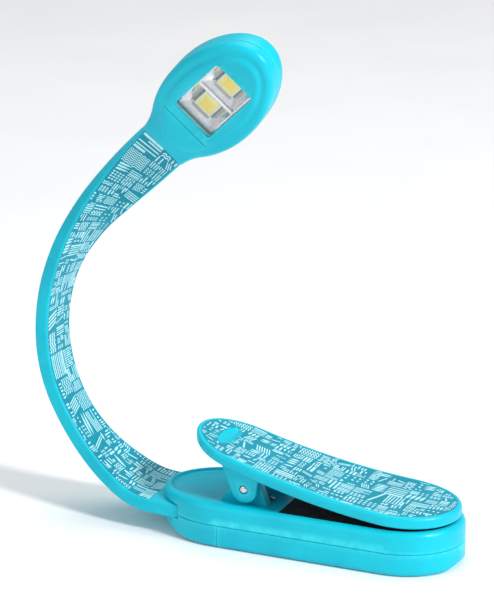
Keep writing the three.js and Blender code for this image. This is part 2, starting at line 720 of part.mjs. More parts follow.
// The part of the head between two heights, with the strap's slot cut out.
function headLayer(manifold, bottom, top) {
  const wide = HEAD.length * 2;
  const slotHalf = NECK.width / 2 + GAP;
  const slotThick = NECK.thickness / 2 + GAP;
  const layer = manifold.intersect(box([-wide, -wide, bottom], [wide, wide, top]));
  const slot = box([-slotHalf, -wide, -slotThick], [slotHalf, NECK.tipStraight + GAP, slotThick]);
  return layer.subtract(slot);
}

function headCavity() {
  const inner = headEllipse(HEAD.wall, CAVITY.bottom, CAVITY.top);
  const wide = HEAD.length * 2;
  return inner.intersect(box([-wide, CAVITY.startY, -wide], [wide, wide, wide]));
}

function windowOutline(grow) {
  return roundedRectangle(WINDOW.width + 2 * grow, WINDOW.length + 2 * grow, WINDOW.corner, 0, WINDOW.y);
}

function headFront() {
  const plateau = headEllipse(PLATEAU.inset, PLATEAU.foot, HEAD.plateau);
  let shell = headLayer(headHull().add(plateau), SEAM / 2, HEAD.plateau + OVER).subtract(headCavity());
  shell = shell.add(post(0, HEAD_SCREW.y, HEAD_BOSS.front, SEAM / 2, CAVITY.top + WELD));
  const bore = HEAD_SCREW.shank + DRILL.tip;
  shell = shell.subtract(post(0, HEAD_SCREW.y, bore, -OVER, HEAD_SCREW.top + DRILL.tip, 16));
  return shell.subtract(raised(windowOutline(0), 0, HEAD.plateau + OVER, 4));
}

function headBack() {
  let shell = headLayer(headHull(), HEAD.back - OVER, -SEAM / 2).subtract(headCavity());
  shell = shell.add(post(0, HEAD_SCREW.y, HEAD_BOSS.back, HEAD.back + HEAD_BOSS.foot, -SEAM / 2));
  const outside = HEAD.back - OVER;
  shell = shell.subtract(post(0, HEAD_SCREW.y, HEAD_SCREW.shank + DRILL.wide, outside, OVER, 16));
  const recess = HEAD_SCREW.head + DRILL.wide;
  shell = shell.subtract(post(0, HEAD_SCREW.y, recess, outside, HEAD_SCREW.headTop + FLUSH, 20));
  return shell.subtract(post(0, BUTTON.y, BUTTON.bore, outside, 0, 28));
}

function headWindow() {
  const glass = raised(windowOutline(-GAP), WINDOW.bottom, WINDOW.top, 4);
  return glass.add(raised(windowOutline(WINDOW.flange), WINDOW.bottom, WINDOW.bottom + WINDOW.lip, 4));
}

// A square funnel that widens upward, for one cell of the reflector.
function funnel(y) {
  const depth = REFLECTOR.top - REFLECTOR.bottom + WELD;
  const geometry = new THREE.CylinderGeometry(Math.SQRT1_2, Math.SQRT1_2, depth, 4, 1);
  geometry.rotateY(Math.PI / 4);
  geometry.rotateX(Math.PI / 2);
  const place = geometry.attributes.position;
  for (let i = 0; i < place.count; i++) {
    const wide = place.getZ(i) > 0;
    place.setX(i, place.getX(i) * (wide ? REFLECTOR.side : REFLECTOR.throat));
    place.setY(i, place.getY(i) * (wide ? REFLECTOR.mouth : REFLECTOR.throat));
  }
  geometry.translate(0, y, (REFLECTOR.top + REFLECTOR.bottom) / 2);
  return solid(geometry);
}

const ledY = [WINDOW.y - REFLECTOR.pitch / 2, WINDOW.y + REFLECTOR.pitch / 2];

function reflector() {
  const outline = roundedRectangle(REFLECTOR.width, REFLECTOR.length, REFLECTOR_CORNER, 0, WINDOW.y);
  const block = raised(outline, REFLECTOR.bottom, REFLECTOR.top, 4);
  return ledY.reduce((made, y) => made.subtract(funnel(y)), block);
}

function led(y) {
  const half = LED.size / 2;
  const bottom = BOARD.top + SOLDER;
  const body = box([-half, y - half, bottom], [half, y + half, bottom + LED.height]);
  const domeTop = bottom + LED.height + LED.domeRise;
  return body.add(post(0, y, LED.dome / 2, bottom + LED.domeFoot, domeTop, 20));
}

function buildHead(end) {
  const head = new THREE.Group();
  const across = new THREE.Vector3().crossVectors(end.along, end.normal);
  head.applyMatrix4(new THREE.Matrix4().makeBasis(across, end.along, end.normal).setPosition(end.place));
  addMesh(head, "head_front", headFront(), satin());
  addMesh(head, "head_back", headBack(), satin());
  addMesh(head, "window", headWindow(), material(COLOURS.clear, 0.08));
  addMesh(head, "reflector", reflector(), material(COLOURS.chrome, 0.2, 1));
  const boardLength = BOARD.endY - BOARD.startY;
  const boardY = (BOARD.startY + BOARD.endY) / 2;
  const boardShape = roundedRectangle(BOARD.width, boardLength, BOARD.corner, 0, boardY);
  addMesh(head, "led_board", raised(boardShape, BOARD.bottom, BOARD.top, 4), material(COLOURS.board, 0.5));
  addMesh(head, "led_lower", led(ledY[0]), material(COLOURS.phosphor, 0.4));
  addMesh(head, "led_upper", led(ledY[1]), material(COLOURS.phosphor, 0.4));
  const half = SWITCH.width / 2;
  const tact = box([-half, BUTTON.y - half, SWITCH.bottom], [half, BUTTON.y + half, BOARD.bottom - SOLDER]);
  addMesh(head, "tact_switch", tact, material(COLOURS.black, 0.5));
  const button = post(0, BUTTON.y, BUTTON.stem, BUTTON.out, BUTTON.inside, 28).add(
    post(0, BUTTON.y, BUTTON.flange, BUTTON.inside - UNDER, BUTTON.flangeTop, 28),
  );
  addMesh(head, "switch_button", button, satin());
  const { width, length, height } = RESISTOR;
  const underBoard = BOARD.bottom - SOLDER;
  const resistor = box(
    [RESISTOR.x - width / 2, RESISTOR.y - length / 2, underBoard - height],
    [RESISTOR.x + width / 2, RESISTOR.y + length / 2, underBoard],
  );
  addMesh(head, "driver_resistor", resistor, material(COLOURS.white, 0.5));
  const fastener = screw(
    HEAD_SCREW.headBottom,
    HEAD_SCREW.headTop,
    HEAD_SCREW.top,
    HEAD_SCREW.head,
    HEAD_SCREW.shank,
  );
  addMesh(head, "head_screw", fastener, steel()).position.set(0, HEAD_SCREW.y, 0);
  return head;
}

lamp.add(buildBase());
lamp.add(buildClip());
const { neck, end } = buildNeck();
lamp.add(neck);
lamp.add(buildHead(end));

export default lamp;
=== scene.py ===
# Clip-on reading lamp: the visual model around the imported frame.
# Lengths are written in millimetres and become metres where a mesh is made.
import json
import math
import random
from contextlib import contextmanager

import bmesh
import bpy
import numpy as np
from mathutils import Matrix, Vector


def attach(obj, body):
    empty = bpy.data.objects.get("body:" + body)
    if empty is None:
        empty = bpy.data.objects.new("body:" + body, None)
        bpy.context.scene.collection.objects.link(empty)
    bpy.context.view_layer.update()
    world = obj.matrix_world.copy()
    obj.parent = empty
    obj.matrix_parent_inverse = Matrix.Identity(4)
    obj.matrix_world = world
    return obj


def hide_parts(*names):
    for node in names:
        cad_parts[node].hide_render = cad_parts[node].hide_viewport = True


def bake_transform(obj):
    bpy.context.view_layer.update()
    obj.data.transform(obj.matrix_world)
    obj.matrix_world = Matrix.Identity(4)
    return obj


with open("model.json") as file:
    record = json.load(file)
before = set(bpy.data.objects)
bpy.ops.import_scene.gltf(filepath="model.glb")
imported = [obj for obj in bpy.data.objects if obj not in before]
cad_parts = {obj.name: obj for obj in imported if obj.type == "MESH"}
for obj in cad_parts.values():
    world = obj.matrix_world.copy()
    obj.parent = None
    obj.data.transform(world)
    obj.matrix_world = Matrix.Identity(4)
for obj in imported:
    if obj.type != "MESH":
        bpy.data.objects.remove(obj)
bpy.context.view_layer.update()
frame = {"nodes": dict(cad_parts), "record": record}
MM = 0.001

# ---- Camera ----
VIEW_AZIMUTH, VIEW_ELEVATION = math.radians(22.5), math.radians(22.0)
VIEW_DISTANCE = 0.7
VIEW_LENS = 177.0
AIM_RIGHT, AIM_UP = -0.016, 0.057


def added(name, data):
    """An object for the data, in the scene."""
    made = bpy.data.objects.new(name, data)
    bpy.context.scene.collection.objects.link(made)
    return made


def make_camera():
    a, e = VIEW_AZIMUTH, VIEW_ELEVATION
    back = Vector((math.sin(a) * math.cos(e), -math.cos(a) * math.cos(e), math.sin(e)))
    right = Vector((math.cos(a), math.sin(a), 0))
    place = back * VIEW_DISTANCE
    aim = right * AIM_RIGHT + back.cross(right) * AIM_UP
    data = bpy.data.cameras.new("camera")
    data.lens = VIEW_LENS
    data.clip_start, data.clip_end = 0.02, 20
    camera = added("camera", data)
    camera.location = place
    camera.rotation_euler = (aim - place).to_track_quat("-Z", "Y").to_euler()
    bpy.context.scene.camera = camera


make_camera()

# ---- Driving dimensions, in millimetres, the same as the CAD's ----
SEAM = 0.12
FIT = 0.15  # visible gap round a piece that sits in another
BASE_LENGTH, BASE_WIDTH, BASE_HEIGHT, PARTING = 75, 27, 10.8, 5.6
BASE_REAR, BASE_FRONT, WALL, FLOOR = 18, 15, 1.5, 1.2
MIDDLE = 13.5  # an inset that reaches the base's long axis
DECK_Z, DECK_UNDER = 10, 8.4
SCOOP_X, SCOOP_LENGTH, SCOOP_HALF, SCOOP_DEPTH = -25.5, 7.2, 6.6, 0.85
SEAT_UNDER, SEAT_FRONT = 7.3, -6.4
SCREW_X, SCREW_Y = -22.4, 7.6
SPLIT_X = -18.8
PAD_REAR, PAD_INSET, PAD_THICK, PAD_TOP = -4.4, 2.2, 1.6, 10.2
RAMP_FOOT, RAMP_BEND, RAMP_END, RAMP_TOP = -20.5, (-31, 0.2), -37.1, 4.45
NOSE_FOOT, NOSE_BEND, NOSE_END, NOSE_TOP = 33, (37.4, 0.4), 38.5, 3.2
HINGE_X, HINGE_Z, PIN_HOLE, PIN_HALF = -13.5, 14.2, 1.08, 10.1
LUG_INNER, LUG_OUTER, LUG_RADIUS = 4.9, 7.4, 3.15
EAR_INNER, EAR_OUTER, EAR_RADIUS = 7.7, 9.9, 3.3
LEVER_REAR, LEVER_FRONT, LEVER_THICK = -29, 36.6, 2.8
LEVER_TIP_Z, LEVER_RISE = 11.2, 12
LEVER_REAR_END, LEVER_FRONT_END = 12, 15  # lengths of its two elliptical ends
LEVER_REAR_HALF, LEVER_FRONT_HALF = 11, 12.7
MARK_X, MARK_LENGTH, MARK_HALF = -21.5, 2.0, 5.5  # the thumb mark
PRINT_DROP = 0.07  # how far the lever's printed face lies below its rim
SPRING_LEG, SPRING_TURNS, SPRING_HALF, SPRING_COIL, SPRING_REACH = 0.12, 5, 3.6, 2.2, 5.5
SPRING_LOWER, SPRING_UPPER, SPRING_WIRE = 1.3, 0.9, 0.43
ROOT_BOTTOM, ROOT_TOP, NOTCH_X, ROOT_START = 4.75, 8.05, -30.2, -38
ROOT_OUTER, ROOT_INNER, TONGUE_HALF = -43.5, -24.3, 7.4
STRAP_WIDTH, STRAP_ROOT, STRAP_FLARE, STRAP_THICK = 12, 21.7, 42, 3.3
STRETCHES = (
    ("bend", 11.8, 33), ("bend", 11.8, 15), ("bend", 11.8, 16), ("bend", 11.8, 18),
    ("bend", 11.8, 18), ("twist", 4, 5), ("bend", 8.5, 20), ("twist", 6.5, 17),
    ("bend", 7.5, 14), ("twist", 6.5, 24), ("bend", 7.5, 5), ("twist", 6.5, 22),
    ("bend", 5.5, 5), ("twist", 7, 12),
)
HEAD_CENTRE, HEAD_HALF, HEAD_REACH = 19, 11.3, 20
WINDOW_Y, WINDOW_W, WINDOW_L = 20.8, 10.9, 17.9
LED_PITCH, PHOSPHOR = 8.9, 4.28
HEAD_SCREW_Y, BUTTON_Y, HEAD_CAVITY_Y = 8.4, 27, 6.2
HEAD_FRONT, HEAD_PLATEAU, HEAD_BACK = 3.1, 3.8, -4.8

# ---- Mesh building ----


def mesh_of(name, points, faces):
    """A mesh from points in millimetres."""
    mesh = bpy.data.meshes.new(name)
    mesh.from_pydata([tuple(float(c) * MM for c in p) for p in points], [], faces)
    return mesh


@contextmanager
def edited(mesh):
    """Opens a mesh for bmesh work and writes the result back."""
    work = bmesh.new()
    work.from_mesh(mesh)
    yield work
    work.to_mesh(mesh)
    work.free()


def cleaned(work, distance):
    bmesh.ops.remove_doubles(work, verts=work.verts, dist=distance)
    bmesh.ops.dissolve_degenerate(work, edges=work.edges, dist=min(distance, 1e-6))


def piece(name, points, faces):
    """A mesh object with its doubles merged and its faces turned outward."""
    mesh = mesh_of(name, points, faces)
    mesh.validate()
    made = added(name, mesh)
    with edited(mesh) as work:
        cleaned(work, 1e-7)
        bmesh.ops.recalc_face_normals(work, faces=work.faces)
    return made


def walls(first, count):
    """The faces between two rings of count points, the lower of which starts at point first."""
    for j in range(count):
        k = (j + 1) % count
        yield (first + j, first + k, first + count + k, first + count + j)


def lofted(name, rings):
    """A closed skin over rings of points, with the first and last ring capped."""
    count = len(rings[0])
    points = [p for ring in rings for p in ring]
    faces = [face for i in range(len(rings) - 1) for face in walls(i * count, count)]
    faces.append(tuple(range(count))[::-1])
    faces.append(tuple(range(len(points) - count, len(points))))
    return piece(name, points, faces)


def joined(target, cutter, operation="DIFFERENCE"):
    """Applies a boolean to target and removes the cutter."""
    step = target.modifiers.new("step", "BOOLEAN")
    step.operation, step.solver, step.object = operation, "EXACT", cutter
    bpy.context.view_layer.update()
    depsgraph = bpy.context.evaluated_depsgraph_get()
    mesh = bpy.data.meshes.new_from_object(target.evaluated_get(depsgraph))
    target.modifiers.clear()
    old, target.data = target.data, mesh
    mesh.name = target.name
    bpy.data.meshes.remove(old)
    bpy.data.objects.remove(cutter)
    return target


def softened(target, angle=32):
    """Smooth shading with edges sharper than the angle kept."""
    with edited(target.data) as work:
        cleaned(work, 2e-6)
    target.data.shade_smooth()
    target.data.set_sharp_from_angle(angle=math.radians(angle))
    return target


def at_height(outline, z):
    return [(x, y, z) for x, y in outline]


def prism(outline, low, high, name="cutter"):
    return lofted(name, [at_height(outline, low), at_height(outline, high)])


def block(low, high, name="cutter"):
    outline = [(low[0], low[1]), (high[0], low[1]), (high[0], high[1]), (low[0], high[1])]
    return prism(outline, low[2], high[2], name)


def arc(x, y, rx, ry, start, stop, steps):
    """Points on an elliptical arc, angles in degrees."""
    out = []
    for i in range(steps + 1):
        t = math.radians(start + (stop - start) * i / steps)
        out.append((x + rx * math.cos(t), y + ry * math.sin(t)))
    return out


def circle(x, y, radius, steps):
    return arc(x, y, radius, radius, 0, 360, steps)[:-1]


def rounding(degrees):
    """Points (run, rise) from 0 to 1 round a quarter of a circle, at every step of degrees."""
    for i in range(1, round(90 / degrees) + 1):
        t = math.radians(i * degrees)
        yield (1 - math.cos(t), math.sin(t))


def across_y(profile, low, high, name="cutter", edge=0.0):
    """A side-view profile of (x, z) points, run from y = low to y = high, its ends' edges rounded."""
    made = lofted(name, [[(x, y, z) for x, z in profile] for y in (low, high)])
    if edge:
        with edited(made.data) as work:
            ends = [
                e for e in work.edges
                if len(e.link_faces) == 2 and any(len(f.verts) > 4 for f in e.link_faces)
            ]
            how = {"segments": 4, "profile": 0.5, "affect": "EDGES", "clamp_overlap": True}
            bmesh.ops.bevel(work, geom=ends, offset=edge * MM, **how)
            bmesh.ops.recalc_face_normals(work, faces=work.faces)
    return made


def turned(name, profile, steps=48):
    """A solid of revolution about Z from (radius, z) points that start and end on the axis."""
    points, rings = [], []
    for r, z in profile:
        if r < 1e-6:
            rings.append([len(points)])
            points.append((0, 0, z))
            continue
        ring = []
        for i in range(steps):
            t = 2 * math.pi * i / steps
            ring.append(len(points))
            points.append((r * math.cos(t), r * math.sin(t), z))
        rings.append(ring)
    faces = []
    for a, b in zip(rings, rings[1:]):
        for i in range(steps):
            k = (i + 1) % steps
            corner = [a[i % len(a)], a[k % len(a)], b[k % len(b)], b[i % len(b)]]
            face = tuple(dict.fromkeys(corner))
            if len(face) > 2:
                faces.append(face)
    return piece(name, points, faces)


def placed(made, matrix):
    made.data.transform(matrix)
    return made


def shift(x, y, z):
    return Matrix.Translation(Vector((x, y, z)) * MM)


def smooth(t):
    t = min(max(t, 0.0), 1.0)
    return t * t * (3 - 2 * t)


def rounded_rectangle(width, length, corner, cx=0.0, cy=0.0, steps=6):
    x, y = width / 2 - corner, length / 2 - corner
    out = []
    for sx, sy, start in ((1, 1, 0), (-1, 1, 90), (-1, -1, 180), (1, -1, 270)):
        out += arc(cx + sx * x, cy + sy * y, corner, corner, start, start + 90, steps)
    return out

# ---- Base ----


def stadium(
    inset, rear_x, front_x, rear_len, front_len, rear_half, front_half, arc_steps=44, side_steps=22
):
    """A plan outline with elliptical ends and straight sides, drawn inset inside its edge."""
    front_x0, rear_x0 = front_x - front_len, rear_x + rear_len
    rh, fh = max(rear_half - inset, 0.0), max(front_half - inset, 0.0)
    front = arc(front_x0, 0, max(front_len - inset, 0.3), fh, -90, 90, arc_steps)
    rear = arc(rear_x0, 0, max(rear_len - inset, 0.3), rh, 90, 270, arc_steps)
    side = []
    for i in range(1, side_steps):
        t = i / side_steps
        side.append((front_x0 + (rear_x0 - front_x0) * t, fh + (rh - fh) * t))
    back = [(x, -y) for x, y in reversed(side)]
    return front + side + rear + back


def base_outline(inset):
    half = BASE_WIDTH / 2
    return stadium(inset, -BASE_LENGTH / 2, BASE_LENGTH / 2, BASE_REAR, BASE_FRONT, half, half)


def deck_height(x, y):
    """The deck: flat, with a shallow dish under the lever's rear end."""
    reach = ((x - SCOOP_X) / SCOOP_LENGTH) ** 2 + (y / SCOOP_HALF) ** 2
    return DECK_Z - SCOOP_DEPTH * max(0.0, 1 - reach) ** 1.3


def base_rings(stations):
    return [at_height(base_outline(d), z) for d, z in stations]


def side_and_rim():
    """Stations (inset, height) up the upper shell's side, over its rim and down to the deck."""
    stations = [(0.12, PARTING), (0.0, PARTING + 0.12), (0.0, 6.6), (0.0, 8.0), (0.0, 9.0)]
    stations += [(1.5 * run, 9.15 + 1.62 * rise) for run, rise in list(rounding(9))[:-1]]
    return stations + [
        (1.5, BASE_HEIGHT), (1.62, 10.78), (1.74, 10.7), (1.84, 10.55), (1.95, 10.36),
        (2.12, 10.18), (2.4, 10.06), (2.8, 10.01),
    ]


def strap_width(s):
    start = NOTCH_X - ROOT_START
    return STRAP_WIDTH + (STRAP_ROOT - STRAP_WIDTH) * (1 - smooth((s + start) / STRAP_FLARE))


def root_cutter(grow, low, high):
    xs = [ROOT_OUTER + i * 0.6 for i in range(22)] + [NOTCH_X + grow]
    side = [(x, strap_width(ROOT_START - x) / 2 + grow) for x in xs]
    side += [(NOTCH_X + grow, TONGUE_HALF + grow), (ROOT_INNER, TONGUE_HALF + grow)]
    return prism([(x, -y) for x, y in side] + side[::-1], low, high)


def lug(low, high):
    profile = [(HINGE_X - 7.8, DECK_Z - 0.5), (HINGE_X - 6.9, DECK_Z + 0.25)]
    profile += [
        (HINGE_X + LUG_RADIUS * math.cos(t), HINGE_Z + LUG_RADIUS * math.sin(t))
        for t in (2.5 - 2.3 * i / 20 for i in range(21))
    ]
    profile += [(HINGE_X + 4.9, DECK_Z + 0.3), (HINGE_X + 5.4, DECK_Z - 0.5)]
    return across_y(profile[::-1], low, high, "lug", 0.28)


def drum(radius, half, steps=64):
    """A round bar through the hinge, half its length each side."""
    return across_y(circle(HINGE_X, HINGE_Z, radius, steps), -half, half)


def post(x, y, radius, low, high, steps=40):
    return prism(circle(x, y, radius, steps), low, high, "post")


def pad_outline(grow):
    rear, corner = PAD_REAR - grow, 2.0
    half = BASE_WIDTH / 2 - PAD_INSET + grow
    front = BASE_LENGTH / 2 - BASE_FRONT
    along = [front + (rear + corner - front) * i / 24 for i in range(1, 24)]
    out = arc(front, 0, BASE_FRONT - PAD_INSET + grow, half, -90, 90, 48)
    out += [(x, half) for x in along]
    out += arc(rear + corner, half - corner, corner, corner, 90, 180, 8)
    out += arc(rear + corner, -half + corner, corner, corner, 180, 270, 8)
    return out + [(x, -half) for x in reversed(along)]


def seat_floor():
    """The shell's skin under the pad, which is lower than under the rest of the deck."""
    outline = [(max(x, SEAT_FRONT), y) for x, y in base_outline(WALL - 0.5)]
    return prism(list(dict.fromkeys(outline)), SEAT_UNDER, 9.2, "seat")


def make_upper_shell():
    stations = side_and_rim()
    rings = base_rings([(WALL, PARTING)] + stations)
    for d in (3.4, 4.2, 5.2, 6.2, 7.3, 8.4, 9.6, 10.9, 12.2, MIDDLE):
        rings.append([(x, y, deck_height(x, y)) for x, y in base_outline(d)])
    inside = [at_height(base_outline(d), DECK_UNDER) for d in (MIDDLE, 9.0, WALL)]
    shell = lofted("shell_upper", inside + rings)
    for side in (-1, 1):
        shell = joined(shell, lug(*sorted((side * LUG_INNER, side * LUG_OUTER))), "UNION")
        shell = joined(shell, post(SCREW_X, side * SCREW_Y, 2.2, PARTING, DECK_UNDER + 0.5), "UNION")
        shell = joined(shell, post(SCREW_X, side * SCREW_Y, 1.1, 0, 8.5))
    shell = joined(shell, seat_floor(), "UNION")
    shell = joined(shell, prism(pad_outline(0.22), PAD_TOP - PAD_THICK - 0.06, 12))
    shell = joined(shell, drum(PIN_HOLE, 9))
    shell = joined(shell, root_cutter(FIT, ROOT_BOTTOM - FIT, ROOT_TOP + FIT))
    return softened(shell)


def quadratic(a, b, c, steps=14):
    out = []
    for i in range(steps + 1):
        t = i / steps
        out.append(tuple(
            (1 - t) ** 2 * p + 2 * t * (1 - t) * q + t * t * r for p, q, r in zip(a, b, c)
        ))
    return out


def lower_hull():
    """The outside of the base below the parting line, as one closed block."""
    stations = [(MIDDLE, 0.0), (9.0, 0.0), (5.0, 0.0), (2.6, 0.0), (1.6, 0.0)]
    for i in range(0, 9):
        t = math.radians(90 - i * 11.25)
        stations.append((1.4 * (1 - math.cos(t)), 1.4 * (1 - math.sin(t))))
    top = PARTING - SEAM
    stations += [(0.0, 2.6), (0.0, 4.0), (0.0, top - 0.12), (0.12, top), (WALL, top), (MIDDLE, top)]
    hull = lofted("hull", base_rings(stations))
    end, below = 40, -2
    rear = [(-end, below), (-end, RAMP_TOP), (RAMP_END, RAMP_TOP)]
    rear += quadratic((RAMP_END, RAMP_TOP), RAMP_BEND, (RAMP_FOOT, -0.01)) + [(RAMP_FOOT, below)]
    nose = [(end, below), (end, NOSE_TOP), (NOSE_END, NOSE_TOP)]
    nose += quadratic((NOSE_END, NOSE_TOP), NOSE_BEND, (NOSE_FOOT, -0.01)) + [(NOSE_FOOT, below)]
    for profile in (rear, nose):
        hull = joined(hull, across_y(profile, -BASE_WIDTH, BASE_WIDTH))
    return hull


def cavity(inset, low, high, rear, front):
    outline = [(min(max(x, rear), front), y) for x, y in base_outline(inset)]
    return prism(list(dict.fromkeys(outline)), low, high, "cavity")


def make_rear_lower_shell():
    shell = joined(lower_hull(), block((SPLIT_X - 0.12, -20, -5), (60, 20, 20)))
    shell.name = shell.data.name = "shell_rear_lower"
    shell = joined(shell, cavity(WALL, FLOOR, 9, -27.5, SPLIT_X - 1.4))
    for side in (-1, 1):
        y = side * SCREW_Y
        shell = joined(shell, post(SCREW_X, y, 2.7, 0.6, PARTING - SEAM - 0.02), "UNION")
        shell = joined(shell, post(SCREW_X, y, 1.15, -2, 9))
        shell = joined(shell, post(SCREW_X, y, 2.1, -2, 2.0))
    shell = joined(shell, root_cutter(FIT, ROOT_BOTTOM - FIT, ROOT_TOP + FIT))
    return softened(shell)


def make_battery_cover():
    cover = joined(lower_hull(), block((-60, -20, -5), (SPLIT_X, 20, 20)))
    cover.name = cover.data.name = "cover_battery"
    cover = joined(cover, cavity(WALL, FLOOR, 9, SPLIT_X - 2, 50))
    return softened(cover)


def make_pad():
    """The jaw's pad: a foam sheet with softly rounded edges and a flat top."""
    bottom, edge = PAD_TOP - PAD_THICK, 0.35
    levels = [(-6, bottom), (-0.1, bottom), (0, bottom + 0.1), (0, PAD_TOP - edge)]
    levels += [(-edge * run, PAD_TOP - edge + edge * rise) for run, rise in rounding(18)]
    rings = [at_height(pad_outline(grow), z) for grow, z in levels]
    for d in (1.2, 2.6, 4.5, 7.0):
        rings.append(at_height(pad_outline(-d), PAD_TOP))
    return softened(lofted("jaw_pad", rings))


# ---- Clip ----


def lever_under(x):
    share = (LEVER_FRONT - x) / (LEVER_FRONT - LEVER_REAR)
    return LEVER_TIP_Z + LEVER_RISE * share * share


def lever_outline(inset):
    ends = (LEVER_REAR_END, LEVER_FRONT_END, LEVER_REAR_HALF, LEVER_FRONT_HALF)
    return stadium(inset, LEVER_REAR, LEVER_FRONT, *ends, 48, 40)


def lever_ring(inset, offset):
    return [(x, y, lever_under(x) + offset) for x, y in lever_outline(inset)]


def on_lever_print(x, y, inset):
    """Whether a point lies on the lever's printed area: inside the rim and off the thumb mark."""
    if ((x - MARK_X) / MARK_LENGTH) ** 2 + (y / MARK_HALF) ** 2 < 1:
        return False
    rear, front = LEVER_REAR + LEVER_REAR_END, LEVER_FRONT - LEVER_FRONT_END
    if x < rear:
        return ((x - rear) / (LEVER_REAR_END - inset)) ** 2 + (y / (LEVER_REAR_HALF - inset)) ** 2 < 1
    if x > front:
        return ((x - front) / (LEVER_FRONT_END - inset)) ** 2 + (y / (LEVER_FRONT_HALF - inset)) ** 2 < 1
    share = (x - rear) / (front - rear)
    return abs(y) < LEVER_REAR_HALF + (LEVER_FRONT_HALF - LEVER_REAR_HALF) * share - inset


def ear(low, high):
    rear_x, front_x = HINGE_X - 6.2, HINGE_X + 3.8
    profile = [(rear_x, lever_under(rear_x) + 0.8)]
    profile += [
        (HINGE_X + EAR_RADIUS * math.cos(t), HINGE_Z + EAR_RADIUS * math.sin(t))
        for t in (3.58 + 2.55 * i / 24 for i in range(25))
    ]
    profile.append((front_x, lever_under(front_x) + 0.8))
    return across_y(profile, low, high, "ear", 0.4)


def make_lever():
    thick = LEVER_THICK
    stations = [(13, 0), (9, 0), (7, 0), (5, 0), (3.4, 0), (2.2, 0), (1.2, 0), (0.7, 0)]
    stations += [(0.42, 0.05), (0.2, 0.18), (0.05, 0.4), (0, 0.7), (0, 1.2), (0, 1.65)]
    stations += [(0.85 * run, 1.72 + (thick - 1.72) * rise) for run, rise in rounding(11.25)]
    insets = (1.12, 1.6, 2.4, 3.4, 4.6, 6, 7.5, 9, 10.8, 13)
    stations += [(1.05, thick)] + [(d, thick - PRINT_DROP) for d in insets]
    lever = lofted("lever_plate", [lever_ring(d, z) for d, z in stations])
    for side in (-1, 1):
        lever = joined(lever, ear(*sorted((side * EAR_INNER, side * EAR_OUTER))), "UNION")
    lever = joined(lever, make_dimple())
    lever = joined(lever, drum(PIN_HOLE, 12))
    return softened(lever)


def make_dimple():
    """The hollow that the thumb mark leaves: half an egg, laid along the lever's slope."""
    bowl = [(0, -0.55)]
    for i in range(1, 18):
        t = math.radians(i * 10)
        bowl.append((math.sin(t), -0.55 * math.cos(t)))
    dimple = turned("dimple", bowl + [(0, 0.55)], 56)
    slope = math.atan(2 * LEVER_RISE * (LEVER_FRONT - MARK_X) / (LEVER_FRONT - LEVER_REAR) ** 2)
    place = shift(MARK_X, 0, lever_under(MARK_X) + LEVER_THICK + 0.12)
    return placed(dimple, place @ Matrix.Rotation(slope, 4, "Y") @ Matrix.Diagonal((1.75, 5.25, 1.6, 1)))


def make_hinge_pin():
    tip = [(0, 0), (0.55, 0.03), (0.82, 0.13), (0.97, 0.34), (1.0, 0.6)]
    profile = [(r, z - PIN_HALF) for r, z in tip] + [(r, PIN_HALF - z) for r, z in reversed(tip)]
    pin = turned("pin_steel", profile)
    placed(pin, shift(HINGE_X, 0, HINGE_Z) @ Matrix.Rotation(math.pi / 2, 4, "X"))
    return softened(pin, 50)


def make_spring():
    """The wound spring: a leg on the deck, five turns round the pin and a leg under the lever."""
    line = []
    for i in range(401):
        t = i / 400
        share = min(max((t - SPRING_LEG) / (1 - 2 * SPRING_LEG), 0), 1)
        angle = -math.pi / 2 - (2 * math.pi * SPRING_TURNS + math.pi) * share
        lower, upper = max(0, (SPRING_LEG - t) / SPRING_LEG), max(0, (t - 1 + SPRING_LEG) / SPRING_LEG)
        line.append(Vector((
            HINGE_X + SPRING_COIL * math.cos(angle) + SPRING_REACH * (lower + upper),
            -SPRING_HALF + 2 * SPRING_HALF * share,
            HINGE_Z + SPRING_COIL * math.sin(angle) - SPRING_LOWER * lower - SPRING_UPPER * upper,
        )))
    return softened(tube("spring_torsion", line, SPRING_WIRE, 12), 60)


def tube(name, line, radius, sides):
    rings = []
    side = Vector((0, 1, 0))
    for i, p in enumerate(line):
        along = (line[min(i + 1, len(line) - 1)] - line[max(i - 1, 0)]).normalized()
        first = along.cross(side).normalized()
        second = along.cross(first).normalized()
        ring = []
        for k in range(sides):
            t = 2 * math.pi * k / sides
            ring.append(tuple(p + first * radius * math.cos(t) + second * radius * math.sin(t)))
        rings.append(ring)
    return lofted(name, rings)


# ---- Neck ----


def turn(v, axis, angle):
    return Matrix.Rotation(angle, 3, axis) @ v


def stretch_frames():
    """The frame (place, along, normal) where each stretch starts, and where the last one ends."""
    place = Vector((ROOT_START, 0, (ROOT_BOTTOM + ROOT_TOP) / 2))
    along, normal = Vector((-1, 0, 0)), Vector((0, 0, 1))
    frames = [(place.copy(), along.copy(), normal.copy())]
    for kind, length, degrees in STRETCHES:
        frames.append(advance(frames[-1], kind, length, degrees, 1.0))
    return frames


def advance(start, kind, length, degrees, share):
    place, along, normal = start
    angle = math.radians(degrees)
    if kind == "twist":
        return (place + along * length * share, along, turn(normal, along, -angle * share))
    across = along.cross(normal)
    radius = length / angle
    angle *= share
    moved = place + along * radius * math.sin(angle) + normal * radius * (1 - math.cos(angle))
    return (moved, turn(along, across, angle), turn(normal, across, angle))


FRAMES = stretch_frames()
STARTS = [0.0]
for _, stretch_length, _ in STRETCHES:
    STARTS.append(STARTS[-1] + stretch_length)
STRAP_END = STARTS[-1]


